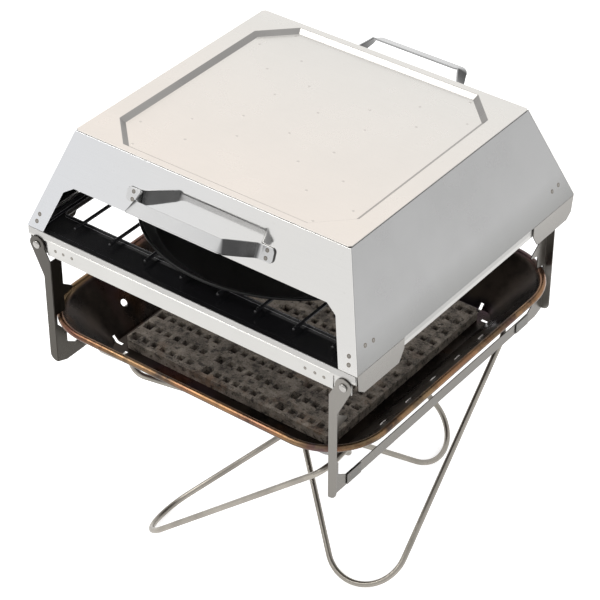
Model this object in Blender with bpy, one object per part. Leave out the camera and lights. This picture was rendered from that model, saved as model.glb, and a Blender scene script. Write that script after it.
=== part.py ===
"""Folding camp oven: wire stand, fire tray, folding frame with legs, grate, baking pan and hood.

Metres, +Z up, front at -Y. The origin lies on the ground below the centre of the hood.
"""

import math

import bmesh
import bpy
from mathutils import Matrix, Vector

# Clearances
GAP = 0.0003
REST_GAP = 0.0003
WELD_SINK = 0.0001

# Heights of the stack
HOOD_BASE_Z = 0.392
RIM_DROP = 0.110
SLAB_DROP = 0.153

# Hood
HOOD_BASE_HALF_X = 0.215
HOOD_BASE_HALF_Y = 0.1995
HOOD_SLOPE_RUN_X = 0.040
HOOD_SLOPE_RUN_Y = 0.042
HOOD_HEIGHT = 0.113
HOOD_SHEET = 0.0012
WINDOW_LEG = 0.0225
WINDOW_SHOULDER_Z = 0.047
WINDOW_TOP_Z = 0.055
WINDOW_SHOULDER = 0.0125
CORNER_FLANGE = 0.019
SKIRT_DROP = 0.0268
SKIRT_LENGTH = 0.079
SKIRT_FRONT_SLANT = 0.012
SKIRT_BACK_SLANT = 0.0085
SKIRT_SHOULDER = 0.75
RECESS_BORDER_X = 0.0215
RECESS_BORDER_Y = 0.008
RECESS_CORNER = 0.036
RECESS_DEPTH = 0.005
RECESS_SLOPE = 0.006

# Crossed brace under the hood's top
BRACE_REACH = 0.172
BRACE_HALF_WIDTH = 0.027
BRACE_RIB_HALF_WIDTH = 0.015
BRACE_RIB_SLOPE = 0.003
BRACE_RIB_DEPTH = 0.006

# Handles of the hood
HANDLE_GRIP_HALF = 0.057
HANDLE_FOOT_INNER = 0.0755
HANDLE_FOOT_OUTER = 0.094
HANDLE_REACH = 0.0425
HANDLE_LIFT = 0.0037
HANDLE_TWIST = math.radians(49.0)
HANDLE_WIDTH = 0.0162
HANDLE_THICKNESS = 0.002
HANDLE_BEND = 0.007
HANDLE_FOOT_ROUND = 0.004
HANDLE_Z = 0.075

# Rails of the folding frame
RAIL_OUTSET_Y = 0.0005
RAIL_INSET_X = 0.0018
RAIL_SHEET = 0.0012
RAIL_BAND = 0.010
RAIL_DEPTH = 0.027
NOTCH_INSET = 0.0136
EAR_REACH = 0.0306
EAR_MARGIN = 0.008
EAR_DROP = 0.026
LEDGE_DROP = 0.0070
LEDGE_WIDTH = 0.013
SIDE_RAIL_INSET = 0.0020
SIDE_RAIL_DEPTH = 0.013

# Pivots of the legs
PIVOT_INSET = 0.0126
PIVOT_DROP = 0.018
PIN_R = 0.0030
PIN_HOLE_R = 0.0033
PIN_HEAD_R = 0.0046
PIN_HEAD_HEIGHT = 0.0022
WASHER_R = 0.0065
WASHER_THICKNESS = 0.0012

# Legs
LEG_SHEET = 0.0012
LEG_WALL_INSET = 0.0176
LEG_FLANGE_WIDTH = 0.0105
LEG_HEAD_R = 0.010
LEG_TAPER_DROP = 0.056
LEG_WALL_TOP_DROP = 0.034
LEG_DROP = 0.172
LEG_CORNER_R = 0.008
LEG_WALL_DEPTH = 0.0170
LEG_FOOT_RISE = 0.005
LEG_FOOT_SLOPE_END = 0.014
TOOTH_TOP_DROP = 0.0715
TOOTH_REACH = 0.014
TOOTH_SLOPE = 0.010
TOOTH_TIP = 0.002
TOOTH_HEIGHT = 0.0155
RIM_NOTCH_DEPTH = 0.0040
RIM_NOTCH_CHAMFER = 0.015
GUSSET_HEIGHT = 0.009
GUSSET_REACH = 0.014
BOTTOM_RAIL_HEIGHT = 0.014
LEG_JOINT_REACH = 0.043
LAP_HALF_LENGTH = 0.012
LAP_MARGIN = 0.001

# Fire tray
TRAY_SHEET = 0.0010
RIM_STANDOFF = 0.0061
RIM_CORNER_R = 0.068
RIM_TUBE_R = 0.0038
WALL_TOP_INSET = 0.0075
WALL_TOP_DROP = 0.004
FLOOR_INSET = 0.056
FLOOR_CORNER_LEAST_R = 0.006
SLIT_LENGTH = 0.010
SLIT_HEIGHT = 0.0035
SLIT_DROP = 0.017
SLIT_PITCH = 0.0454
SLIT_COUNT = 5
SLIT_SHIFT = -0.0193
DRAUGHT_HOLE_R = 0.0045
DRAUGHT_HOLE_Y = 0.101
DRAUGHT_HOLE_DROP = 0.032
DRAIN_SLOT_LENGTH = 0.014
DRAIN_SLOT_WIDTH = 0.004
DRAIN_SLOT_SIDE_INSET = 0.014
DRAIN_SLOT_END_INSET = 0.019

# Charcoal slab
SLAB_CLEARANCE_X = 0.0105
SLAB_CLEARANCE_Y = 0.012
SLAB_THICKNESS = 0.011
SLAB_CORNER = 0.006
SLAB_EDGE_WEB = 0.0015
SLAB_HOLE = 0.0078
SLAB_FIRST_HOLE = 0.0115
SLAB_FIRST_STEP = 0.0145
SLAB_HOLE_PITCH = 0.0125
SLAB_HOLES_IN_GROUP = 7
SLAB_GROUP_PITCH = 0.101
SLAB_GROUP_START = -0.1335
SLAB_GROUPS = 3
SLAB_ROW_PITCH = 0.0235
SLAB_ROWS = 12

# Grate
GRATE_SHEET = 0.0010
GRATE_BORDER_X = 0.013
GRATE_BORDER_Y = 0.043
GRATE_EDGE_RISE = 0.0045
GRATE_EDGE_WIDTH = 0.006
GRATE_CORNER_R = 0.004
GRATE_LIP_RISE = 0.0050
GRATE_WIRE_R = 0.0020
GRATE_WIRE_MARGIN = 0.0313
GRATE_WIRE_COUNT = 8
GRATE_WIRE_SEAT = 0.020
GRATE_BAR_PITCH = 0.100
GRATE_BAR_COUNT = 3
GRATE_WELD = 0.0005

# Baking pan
PAN_X = 0.005
PAN_Y = -0.012
PAN_RIM_R = 0.1725
PAN_FLOOR_R = 0.158
PAN_HEIGHT = 0.0150
PAN_SHEET = 0.0012
PAN_BEAD_R = 0.0018
PAN_FLOOR_CORNER = 0.004

# Wire stand
STAND_WIRE_R = 0.0035
STAND_YAW = math.radians(3.8)
STAND_TILT = math.radians(41.1)
STAND_HUB_Z = 0.097
STAND_SIDE = 0.180
STAND_FOOT_R = 0.0472
STAND_TOP_R = 0.020
STAND_HUB_OFFSET = 0.0055
STAND_HUB_LIFT = 0.0072
STAND_JOG_FLAT = 0.009
STAND_JOG_LENGTH = 0.020
STAND_PIN_R = 0.0015
STAND_PIN_HEAD_R = 0.0026
STAND_PIN_HEAD = 0.0020
STAND_PIN_HALF = 0.0137

# Sizes and places worked out from the sizes above
HOOD_TOP_HALF_X = HOOD_BASE_HALF_X - HOOD_SLOPE_RUN_X
HOOD_TOP_HALF_Y = HOOD_BASE_HALF_Y - HOOD_SLOPE_RUN_Y
RECESS_HALF_X = HOOD_TOP_HALF_X - RECESS_BORDER_X
RECESS_HALF_Y = HOOD_TOP_HALF_Y - RECESS_BORDER_Y
RAIL_HALF_Y = HOOD_BASE_HALF_Y + RAIL_OUTSET_Y
RAIL_HALF_X = HOOD_BASE_HALF_X - RAIL_INSET_X
SIDE_RAIL_HALF_X = HOOD_BASE_HALF_X - SIDE_RAIL_INSET
PIVOT_X = RAIL_HALF_X - PIVOT_INSET
NOTCH_X = PIVOT_X - NOTCH_INSET
EAR_INNER_X = PIVOT_X - EAR_REACH
LEG_WALL_X = PIVOT_X - LEG_WALL_INSET
GRATE_OPENING_HALF_X = SIDE_RAIL_HALF_X - GRATE_BORDER_X
GRATE_OPENING_HALF_Y = RAIL_HALF_Y - GRATE_BORDER_Y
GRATE_WIRE_PITCH = 2 * (GRATE_OPENING_HALF_X - GRATE_WIRE_MARGIN) / (GRATE_WIRE_COUNT - 1)
GRATE_WIRE_HALF = GRATE_OPENING_HALF_Y + GRATE_WIRE_SEAT
HOOD_WALL_TOP = HOOD_HEIGHT - HOOD_SHEET - GAP
RIM_Z = HOOD_BASE_Z - RIM_DROP
SLAB_TOP_Z = HOOD_BASE_Z - SLAB_DROP
TRAY_FLOOR_Z = SLAB_TOP_Z - SLAB_THICKNESS - REST_GAP
EAR_FACE_Y = RAIL_HALF_Y - RAIL_SHEET + WELD_SINK
EAR_BACK_Y = EAR_FACE_Y - RAIL_SHEET
LEG_BACK_Y = EAR_FACE_Y + GAP + WASHER_THICKNESS + GAP
LEG_FACE_Y = LEG_BACK_Y + LEG_SHEET
RIM_HALF = LEG_FACE_Y + RIM_STANDOFF
WALL_TOP_HALF = RIM_HALF - WALL_TOP_INSET
FLOOR_HALF = RIM_HALF - FLOOR_INSET
DRAIN_SLOT_SIDE_Y = FLOOR_HALF - DRAIN_SLOT_SIDE_INSET
DRAIN_SLOT_END_X = FLOOR_HALF - DRAIN_SLOT_END_INSET
SLAB_HALF_X = FLOOR_HALF - SLAB_CLEARANCE_X
SLAB_HALF_Y = FLOOR_HALF - SLAB_CLEARANCE_Y
PIVOT_Z = HOOD_BASE_Z - PIVOT_DROP
LEDGE_Z = HOOD_BASE_Z - LEDGE_DROP
GRATE_UNDER_Z = LEDGE_Z + REST_GAP
GRATE_LIP_Z = GRATE_UNDER_Z + GRATE_LIP_RISE
GRATE_WIRE_Z = GRATE_LIP_Z + GAP + GRATE_WIRE_R
GRATE_BAR_Z = GRATE_WIRE_Z - 2 * GRATE_WIRE_R + GRATE_WELD
GRATE_BAR_HALF = GRATE_OPENING_HALF_X - GAP
PAN_UNDER_Z = GRATE_WIRE_Z + GRATE_WIRE_R + REST_GAP
LEG_BOTTOM_Z = HOOD_BASE_Z - LEG_DROP

# Finishes: colour, roughness, metallic
POLISHED_STEEL = ("polished_steel", (0.72, 0.71, 0.69), 0.16, 1.0)
SATIN_STEEL = ("satin_steel", (0.58, 0.56, 0.53), 0.34, 1.0)
LEG_STEEL = ("leg_steel", (0.55, 0.51, 0.46), 0.30, 1.0)
FIRED_STEEL = ("fired_steel", (0.045, 0.043, 0.045), 0.28, 0.9)
CAST_IRON = ("cast_iron", (0.16, 0.13, 0.11), 0.80, 0.5)
BLACK_ENAMEL = ("black_enamel", (0.012, 0.012, 0.013), 0.30, 0.1)
PAN_ENAMEL = ("pan_enamel", (0.010, 0.010, 0.010), 0.35, 0.2)
NICKEL_WIRE = ("nickel_wire", (0.62, 0.60, 0.55), 0.22, 1.0)


def clear_scene():
    """Remove the startup objects."""
    for obj in list(bpy.data.objects):
        bpy.data.objects.remove(obj, do_unlink=True)


def finish(spec):
    """Return the material of a finish, made once."""
    name, colour, roughness, metallic = spec
    if name in bpy.data.materials:
        return bpy.data.materials[name]
    mat = bpy.data.materials.new(name)
    mat.use_nodes = True
    shader = mat.node_tree.nodes["Principled BSDF"]
    shader.inputs["Base Color"].default_value = (*colour, 1.0)
    shader.inputs["Roughness"].default_value = roughness
    shader.inputs["Metallic"].default_value = metallic
    return mat


def add_object(name, bm, spec):
    """Turn a bmesh into a named object in the scene."""
    bmesh.ops.recalc_face_normals(bm, faces=bm.faces)
    mesh = bpy.data.meshes.new(name)
    bm.to_mesh(mesh)
    bm.free()
    obj = bpy.data.objects.new(name, mesh)
    if spec is not None:
        mesh.materials.append(finish(spec))
    bpy.context.scene.collection.objects.link(obj)
    return obj


def add_cutter(name, bm):
    """Make a hidden tool object for a Boolean."""
    obj = add_object(name, bm, None)
    obj.hide_render = True
    obj.display_type = "WIRE"
    return obj


def boolean(obj, tool, operation):
    """Add an exact Boolean of a hidden tool to an object."""
    mod = obj.modifiers.new(operation.lower(), "BOOLEAN")
    mod.operation = operation
    mod.solver = "EXACT"
    mod.object = tool
    return mod


def loft(bm, rings, cyclic=False):
    """Join rings of equal length into a closed skin, capped at both ends unless cyclic."""
    loops = [[bm.verts.new(point) for point in ring] for ring in rings]
    count = len(loops[0])
    pairs = list(zip(loops, loops[1:]))
    if cyclic:
        pairs.append((loops[-1], loops[0]))
    for low, high in pairs:
        for i in range(count):
            j = (i + 1) % count
            bm.faces.new((low[i], low[j], high[j], high[i]))
    if not cyclic:
        bm.faces.new(list(reversed(loops[0])))
        bm.faces.new(loops[-1])
    return bm


def extrude(bm, outline, place, low, high):
    """Close a flat outline between two depths; place(a, b, depth) gives the point."""
    return loft(bm, [[place(a, b, depth) for a, b in outline] for depth in (low, high)])


def box(bm, low, high):
    """Add a closed box between two corners."""
    corners = ((low[0], low[1]), (high[0], low[1]), (high[0], high[1]), (low[0], high[1]))
    return loft(bm, [[Vector((x, y, z)) for x, y in corners] for z in (low[2], high[2])])


def arc(centre, radius, start, end, steps):
    """Points on an arc, angles in degrees."""
    points = []
    for i in range(steps + 1):
        angle = math.radians(start + (end - start) * i / steps)
        points.append((centre[0] + radius * math.cos(angle), centre[1] + radius * math.sin(angle)))
    return points


def rounded_rectangle(half_x, half_y, radius, steps):
    """Corner arcs of a rectangle, counter-clockwise."""
    points = []
    for index, (sx, sy) in enumerate(((1, 1), (-1, 1), (-1, -1), (1, -1))):
        centre = (sx * (half_x - radius), sy * (half_y - radius))
        points += arc(centre, radius, 90 * index, 90 * index + 90, steps)
    return points


def level_ring(outline, z):
    """Lift a flat outline to a height."""
    return [Vector((x, y, z)) for x, y in outline]


def round_corner(before, corner, after, radius, steps):
    """Replace a corner of a path by an arc, in two or three dimensions."""
    to_before = (before - corner).normalized()
    to_after = (after - corner).normalized()
    half = to_before.angle(to_after) / 2
    tangent = radius / math.tan(half)
    middle = (to_before + to_after).normalized()
    centre = corner + middle * (radius / math.sin(half))
    start = corner + to_before * tangent - centre
    across = (corner + to_after * tangent - centre)
    span = math.pi - 2 * half
    side = (across - start * math.cos(span)) / math.sin(span)
    angles = [span * i / steps for i in range(steps + 1)]
    return [centre + start * math.cos(a) + side * math.sin(a) for a in angles]


def lathe(bm, profile, place, segments):
    """Turn (radius, distance) pairs about an axis; place(a, b, distance) gives the point."""
    rings = []
    for radius, distance in profile:
        circle = arc((0.0, 0.0), radius, 0.0, 360.0 - 360.0 / segments, segments - 1)
        rings.append([place(a, b, distance) for a, b in circle])
    return loft(bm, rings)


def sweep_ring(bm, path, normal, radius, sides):
    """Sweep a round wire along a closed path that lies near one plane."""
    rings = []
    count = len(path)
    for i, point in enumerate(path):
        along = (path[(i + 1) % count] - path[i - 1]).normalized()
        across = along.cross(normal).normalized()
        upward = across.cross(along)
        ring = []
        for k in range(sides):
            angle = 2 * math.pi * k / sides
            ring.append(point + across * (radius * math.cos(angle)) + upward * (radius * math.sin(angle)))
        rings.append(ring)
    return loft(bm, rings, cyclic=True)


def hood_half(height):
    """Half width and half depth of the hood at a height above its base."""
    share = height / HOOD_HEIGHT
    half_x = HOOD_BASE_HALF_X + (HOOD_TOP_HALF_X - HOOD_BASE_HALF_X) * share
    half_y = HOOD_BASE_HALF_Y + (HOOD_TOP_HALF_Y - HOOD_BASE_HALF_Y) * share
    return half_x, half_y


def hood_sheet_across():
    """Horizontal thickness of the sloping sheets, across X and across Y."""
    slope_x = (HOOD_BASE_HALF_X - HOOD_TOP_HALF_X) / HOOD_HEIGHT
    slope_y = (HOOD_BASE_HALF_Y - HOOD_TOP_HALF_Y) / HOOD_HEIGHT
    return HOOD_SHEET * math.hypot(1.0, slope_x), HOOD_SHEET * math.hypot(1.0, slope_y)


def make_hood_face(name, end):
    """Sloping front (end -1) or back (end 1) panel with its wide window."""
    _, across = hood_sheet_across()
    shoulder_x = hood_half(WINDOW_SHOULDER_Z)[0] - WINDOW_LEG
    base_x = HOOD_BASE_HALF_X - WINDOW_LEG
    right = [(base_x, 0.0), (HOOD_BASE_HALF_X, 0.0), (hood_half(HOOD_WALL_TOP)[0], HOOD_WALL_TOP)]
    window = [(shoulder_x - WINDOW_SHOULDER, WINDOW_TOP_Z), (shoulder_x, WINDOW_SHOULDER_Z)]
    outline = right + [(-x, z) for x, z in reversed(right)]
    outline += [(-x, z) for x, z in reversed(window)] + window

    def place(x, z, depth):
        return Vector((x, end * (hood_half(z)[1] - depth), HOOD_BASE_Z + z))

    bm = extrude(bmesh.new(), outline, place, 0.0, across)
    return add_object(name, bm, POLISHED_STEEL)


def make_hood_side(name, side):
    """Sloping side panel with its corner flanges."""
    across_x, across_y = hood_sheet_across()
    rings = []
    for height in (0.0, HOOD_WALL_TOP):
        half_x, half_y = hood_half(height)
        half_y -= across_y + GAP
        inner_x = half_x - CORNER_FLANGE
        plan = [(inner_x, -half_y), (half_x, -half_y), (half_x, half_y), (inner_x, half_y)]
        plan += [(inner_x, half_y - HOOD_SHEET), (half_x - across_x, half_y - HOOD_SHEET)]
        plan += [(half_x - across_x, HOOD_SHEET - half_y), (inner_x, HOOD_SHEET - half_y)]
        rings.append([Vector((side * x, y, HOOD_BASE_Z + height)) for x, y in plan])
    return add_object(name, loft(bmesh.new(), rings), POLISHED_STEEL)


def make_hood_skirt(name, side, end):
    """Upright tab welded under a side panel near a corner, which keeps the hood in its place."""
    _, across_y = hood_sheet_across()
    outer_y = HOOD_BASE_HALF_Y - across_y - GAP
    inner_y = outer_y - SKIRT_LENGTH
    low = -SKIRT_DROP
    skirt = [(inner_y, -GAP), (inner_y, low / 2), (inner_y + SKIRT_BACK_SLANT, low),
             (outer_y - SKIRT_FRONT_SLANT, low), (outer_y - SKIRT_FRONT_SLANT / 4, low * SKIRT_SHOULDER),
             (outer_y, -GAP)]

    def place(y, z, depth):
        return Vector((side * (HOOD_BASE_HALF_X - depth), end * y, HOOD_BASE_Z + z))

    return add_object(name, extrude(bmesh.new(), skirt, place, 0.0, HOOD_SHEET), POLISHED_STEEL)


def octagon(half_x, half_y, corner):
    """Rectangle with cut corners, counter-clockwise."""
    points = []
    for sx, sy in ((1, 1), (-1, 1), (-1, -1), (1, -1)):
        pair = [(sx * half_x, sy * (half_y - corner)), (sx * (half_x - corner), sy * half_y)]
        points += pair if sx * sy > 0 else pair[::-1]
    return points


def make_hood_top():
    """Top sheet with the sunk eight-sided field."""
    edge_x, edge_y = hood_half(HOOD_WALL_TOP)
    corner = min(edge_x, edge_y) * 0.02
    cut = RECESS_CORNER
    top = HOOD_BASE_Z + HOOD_HEIGHT
    bend = HOOD_SHEET * math.tan(math.atan2(RECESS_DEPTH, RECESS_SLOPE) / 2)

    def field(outward, z):
        grown = cut + outward * (2.0 - math.sqrt(2.0))
        return level_ring(octagon(RECESS_HALF_X + outward, RECESS_HALF_Y + outward, grown), z)

    rings = [field(bend - RECESS_SLOPE, top - RECESS_DEPTH - HOOD_SHEET), field(bend, top - HOOD_SHEET),
             level_ring(octagon(edge_x, edge_y, corner), top - HOOD_SHEET),
             level_ring(octagon(edge_x, edge_y, corner), top),
             field(0.0, top), field(-RECESS_SLOPE, top - RECESS_DEPTH)]
    return add_object("hood_top_panel", loft(bmesh.new(), rings), POLISHED_STEEL)


def cross_outline(reach, half_width):
    """Outline of two crossed strips on the diagonals."""
    points = []
    for quarter in range(4):
        turn = Matrix.Rotation(math.radians(45 + 90 * quarter), 2)
        for along, across in ((reach, -half_width), (reach, half_width), (half_width, half_width)):
            point = turn @ Vector((along, across))
            points.append((point.x, point.y))
    return points


def make_hood_brace():
    """Crossed pressing welded under the sunk field."""
    top = HOOD_BASE_Z + HOOD_HEIGHT - HOOD_SHEET - RECESS_DEPTH - GAP
    under = top - HOOD_SHEET
    wide = BRACE_RIB_HALF_WIDTH
    narrow = BRACE_RIB_HALF_WIDTH - BRACE_RIB_SLOPE
    side = HOOD_SHEET * 0.8
    rib_reach = BRACE_REACH - (BRACE_HALF_WIDTH - BRACE_RIB_HALF_WIDTH)
    floor_reach = rib_reach - BRACE_RIB_SLOPE
    rings = [level_ring(cross_outline(floor_reach, narrow), under - BRACE_RIB_DEPTH),
             level_ring(cross_outline(rib_reach, wide), under),
             level_ring(cross_outline(BRACE_REACH, BRACE_HALF_WIDTH), under),
             level_ring(cross_outline(BRACE_REACH, BRACE_HALF_WIDTH), top),
             level_ring(cross_outline(rib_reach - side, wide - side), top),
             level_ring(cross_outline(floor_reach - side, narrow - side), top - BRACE_RIB_DEPTH)]
    return add_object("hood_brace", loft(bmesh.new(), rings), SATIN_STEEL)


def handle_stations():
    """Half of a handle's strap from foot to grip: centre in X, reach and lift, share of twist, half width."""
    low = HANDLE_THICKNESS / 2
    foot = Vector((HANDLE_FOOT_OUTER, low, 0.0))
    heel = Vector((HANDLE_FOOT_INNER, low, 0.0))
    wrist = Vector((HANDLE_GRIP_HALF, HANDLE_REACH, HANDLE_LIFT))
    middle = Vector((0.0, HANDLE_REACH, HANDLE_LIFT))
    half = HANDLE_WIDTH / 2
    inset = HANDLE_FOOT_ROUND
    stations = []
    for across, along in arc((0.0, 0.0), inset, 0.0, 90.0, 2):
        stations.append((foot + Vector((across - inset, 0.0, 0.0)), 0.0, half - inset + along))
    first = round_corner(foot, heel, wrist, HANDLE_BEND, 3)
    last = round_corner(heel, wrist, middle, HANDLE_BEND, 3)
    stations += [(point, 0.0, half) for point in first]
    stations.append(((first[-1] + last[0]) / 2, 0.5, half))
    stations += [(point, 1.0, half) for point in last]
    return stations


def make_handle(name, end):
    """Bent strap handle on the front or back panel, with its grip turned nearly level."""
    rise = Vector((HOOD_BASE_HALF_Y - HOOD_TOP_HALF_Y, HOOD_HEIGHT)).normalized()
    up = Vector((0.0, -end * rise.x, rise.y))
    out = Vector((0.0, end * rise.y, rise.x))
    base = Vector((0.0, end * hood_half(HANDLE_Z)[1], HOOD_BASE_Z + HANDLE_Z)) + out * GAP
    right = handle_stations()
    stations = right + [(Vector((-c.x, c.y, c.z)), share, half) for c, share, half in reversed(right)]
    centres = [base + Vector((c.x, 0.0, 0.0)) + out * c.y + up * c.z for c, _, _ in stations]
    rings = []
    for i, (_, share, half) in enumerate(stations):
        along = (centres[min(i + 1, len(centres) - 1)] - centres[max(i - 1, 0)]).normalized()
        turn = HANDLE_TWIST * share
        across = up * math.cos(turn) - out * math.sin(turn)
        across = (across - along * across.dot(along)).normalized()
        normal = along.cross(across) * (HANDLE_THICKNESS / 2)
        edge = across * half
        corners = (edge + normal, normal - edge, -edge - normal, edge - normal)
        rings.append([centres[i] + corner for corner in corners])
    return add_object(name, loft(bmesh.new(), rings), SATIN_STEEL)


def make_end_rail(name, end):
    """Front or back rail: notched band, ledge for the grate and two ears for the pivots."""
    top = HOOD_BASE_Z - REST_GAP
    band_z = HOOD_BASE_Z - RAIL_BAND
    low_z = HOOD_BASE_Z - RAIL_DEPTH

    def place(x, z, depth):
        return Vector((x, end * (RAIL_HALF_Y - depth), z))

    right = [(NOTCH_X, low_z), (NOTCH_X, band_z), (RAIL_HALF_X, band_z), (RAIL_HALF_X, top)]
    outline = right + [(-x, z) for x, z in reversed(right)]
    bm = extrude(bmesh.new(), outline, place, 0.0, RAIL_SHEET)
    rail = add_object(name, bm, SATIN_STEEL)

    tools = bmesh.new()
    ear_low, ear_high = HOOD_BASE_Z - EAR_DROP, band_z + RAIL_BAND / 2
    ear_outer = PIVOT_X + EAR_MARGIN
    ear = [(EAR_INNER_X, ear_low), (ear_outer, ear_low), (ear_outer, ear_high), (EAR_INNER_X, ear_high)]
    near, far = RAIL_HALF_Y - EAR_FACE_Y, RAIL_HALF_Y - EAR_BACK_Y
    for side in (-1, 1):
        extrude(tools, [(side * x, z) for x, z in ear], place, near, far)
    ledge_x = EAR_INNER_X - GAP
    ledge_low = LEDGE_Z - RAIL_SHEET
    ledge = [(-ledge_x, ledge_low), (ledge_x, ledge_low), (ledge_x, LEDGE_Z), (-ledge_x, LEDGE_Z)]
    extrude(tools, ledge, place, RAIL_SHEET / 2, LEDGE_WIDTH)
    boolean(rail, add_cutter(name + "_tool", tools), "UNION")

    holes = bmesh.new()
    for side in (-1, 1):
        def spot(a, b, distance, side=side):
            return Vector((side * PIVOT_X + a, end * distance, PIVOT_Z + b))
        reach = [(PIN_HOLE_R, EAR_BACK_Y - 0.002), (PIN_HOLE_R, RAIL_HALF_Y + 0.002)]
        lathe(holes, reach, spot, 16)
    boolean(rail, add_cutter(name + "_hole_tool", holes), "DIFFERENCE")
    return rail


def make_side_rail(name, side):
    """Side rail: band with a ledge for the grate."""
    top = HOOD_BASE_Z - REST_GAP
    half_y = EAR_BACK_Y - GAP
    face = SIDE_RAIL_HALF_X
    outline = [(face, HOOD_BASE_Z - SIDE_RAIL_DEPTH), (face, top), (face - RAIL_SHEET, top),
               (face - RAIL_SHEET, LEDGE_Z), (face - LEDGE_WIDTH, LEDGE_Z),
               (face - LEDGE_WIDTH, LEDGE_Z - RAIL_SHEET), (face - RAIL_SHEET, LEDGE_Z - RAIL_SHEET),
               (face - RAIL_SHEET, HOOD_BASE_Z - SIDE_RAIL_DEPTH)]

    def place(x, z, depth):
        return Vector((side * x, depth, z))

    return add_object(name, extrude(bmesh.new(), outline, place, -half_y, half_y), SATIN_STEEL)


def make_pin(name, side, end):
    """Domed rivet on which a leg turns."""
    tail = EAR_BACK_Y - GAP
    head = LEG_FACE_Y + GAP
    dome = PIN_HEAD_HEIGHT
    profile = [(PIN_HEAD_R * 0.8, tail - dome * 0.6), (PIN_HEAD_R, tail - dome * 0.4), (PIN_HEAD_R, tail),
               (PIN_R, tail), (PIN_R, head), (PIN_HEAD_R, head), (PIN_HEAD_R, head + dome * 0.35),
               (PIN_HEAD_R * 0.75, head + dome * 0.8), (PIN_HEAD_R * 0.35, head + dome)]

    def place(a, b, distance):
        return Vector((side * PIVOT_X + a, end * distance, PIVOT_Z + b))

    return add_object(name, lathe(bmesh.new(), profile, place, 16), POLISHED_STEEL)


def make_washer(name, side, end):
    """Washer between a leg's head and the ear."""
    near = EAR_FACE_Y + GAP
    far = near + WASHER_THICKNESS
    rings = []
    for radius, distance in ((WASHER_R, near), (WASHER_R, far), (PIN_HOLE_R, far), (PIN_HOLE_R, near)):
        circle = arc((0.0, 0.0), radius, 0.0, 337.5, 15)
        rings.append([Vector((side * PIVOT_X + a, end * distance, PIVOT_Z + b)) for a, b in circle])
    return add_object(name, loft(bmesh.new(), rings, cyclic=True), SATIN_STEEL)


def leg_flange_outline():
    """Front outline of a leg: round head, taper and narrow strip with a rounded foot corner."""
    strip_x = LEG_WALL_X + LEG_FLANGE_WIDTH
    foot_z = LEG_BOTTOM_Z + LEG_FOOT_RISE
    foot = arc((strip_x - LEG_CORNER_R, foot_z + LEG_CORNER_R), LEG_CORNER_R, -90.0, 0.0, 4)
    head = arc((PIVOT_X, PIVOT_Z), LEG_HEAD_R, -10.0, 190.0, 12)
    inner_x = LEG_WALL_X + LEG_SHEET / 2
    return ([(inner_x, foot_z)] + foot + [(strip_x, HOOD_BASE_Z - LEG_TAPER_DROP)] + head
            + [(inner_x, HOOD_BASE_Z - LEG_WALL_TOP_DROP)])


def leg_wall_outline():
    """Side outline of a leg in depth from its flange and height: tooth, rim notch and gusset."""
    edge = LEG_WALL_DEPTH
    base = HOOD_BASE_Z
    rim_top = RIM_Z + RIM_TUBE_R + REST_GAP
    notch_low = RIM_Z - RIM_TUBE_R - 3 * GAP - RIM_NOTCH_CHAMFER / 4
    tooth_top = base - TOOTH_TOP_DROP
    tooth_tip = tooth_top - TOOTH_SLOPE
    joint_top = LEG_BOTTOM_Z + BOTTOM_RAIL_HEIGHT
    start = LEG_SHEET / 2
    return [(start, LEG_BOTTOM_Z + LEG_FOOT_RISE), (LEG_FOOT_SLOPE_END, LEG_BOTTOM_Z),
            (LEG_JOINT_REACH, LEG_BOTTOM_Z), (LEG_JOINT_REACH, joint_top), (edge + GUSSET_REACH, joint_top),
            (edge, joint_top + GUSSET_HEIGHT), (edge, notch_low - RIM_NOTCH_CHAMFER),
            (RIM_NOTCH_DEPTH, notch_low), (RIM_NOTCH_DEPTH, rim_top), (edge, rim_top),
            (edge, tooth_top - TOOTH_HEIGHT), (edge + TOOTH_REACH, tooth_tip - TOOTH_TIP),
            (edge + TOOTH_REACH, tooth_tip), (edge, tooth_top),
            (edge, base - LEG_WALL_TOP_DROP - LEG_CORNER_R), (edge - LEG_CORNER_R, base - LEG_WALL_TOP_DROP),
            (start, base - LEG_WALL_TOP_DROP)]


def make_leg(name, side, end):
    """One angle-section leg."""
    def front(x, z, depth):
        return Vector((side * x, end * (LEG_FACE_Y - depth), z))

    def flank(depth, z, x):
        return Vector((side * x, end * (LEG_FACE_Y - depth), z))

    leg = add_object(name, extrude(bmesh.new(), leg_flange_outline(), front, 0.0, LEG_SHEET), LEG_STEEL)
    wall = extrude(bmesh.new(), leg_wall_outline(), flank, LEG_WALL_X, LEG_WALL_X + LEG_SHEET)
    boolean(leg, add_cutter(name + "_wall_tool", wall), "UNION")

    def spot(a, b, distance):
        return Vector((side * PIVOT_X + a, end * distance, PIVOT_Z + b))

    reach = [(PIN_HOLE_R, LEG_BACK_Y - 0.002), (PIN_HOLE_R, LEG_FACE_Y + 0.002)]
    boolean(leg, add_cutter(name + "_hole_tool", lathe(bmesh.new(), reach, spot, 16)), "DIFFERENCE")
    return leg


def make_bottom_rail(name, side):
    """Strip that joins the two legs of a side."""
    half_y = LEG_FACE_Y - LEG_JOINT_REACH - GAP
    top = LEG_BOTTOM_Z + BOTTOM_RAIL_HEIGHT
    near, far = sorted((side * LEG_WALL_X, side * (LEG_WALL_X + LEG_SHEET)))
    bm = box(bmesh.new(), (near, -half_y, LEG_BOTTOM_Z), (far, half_y, top))
    return add_object(name, bm, LEG_STEEL)


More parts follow.
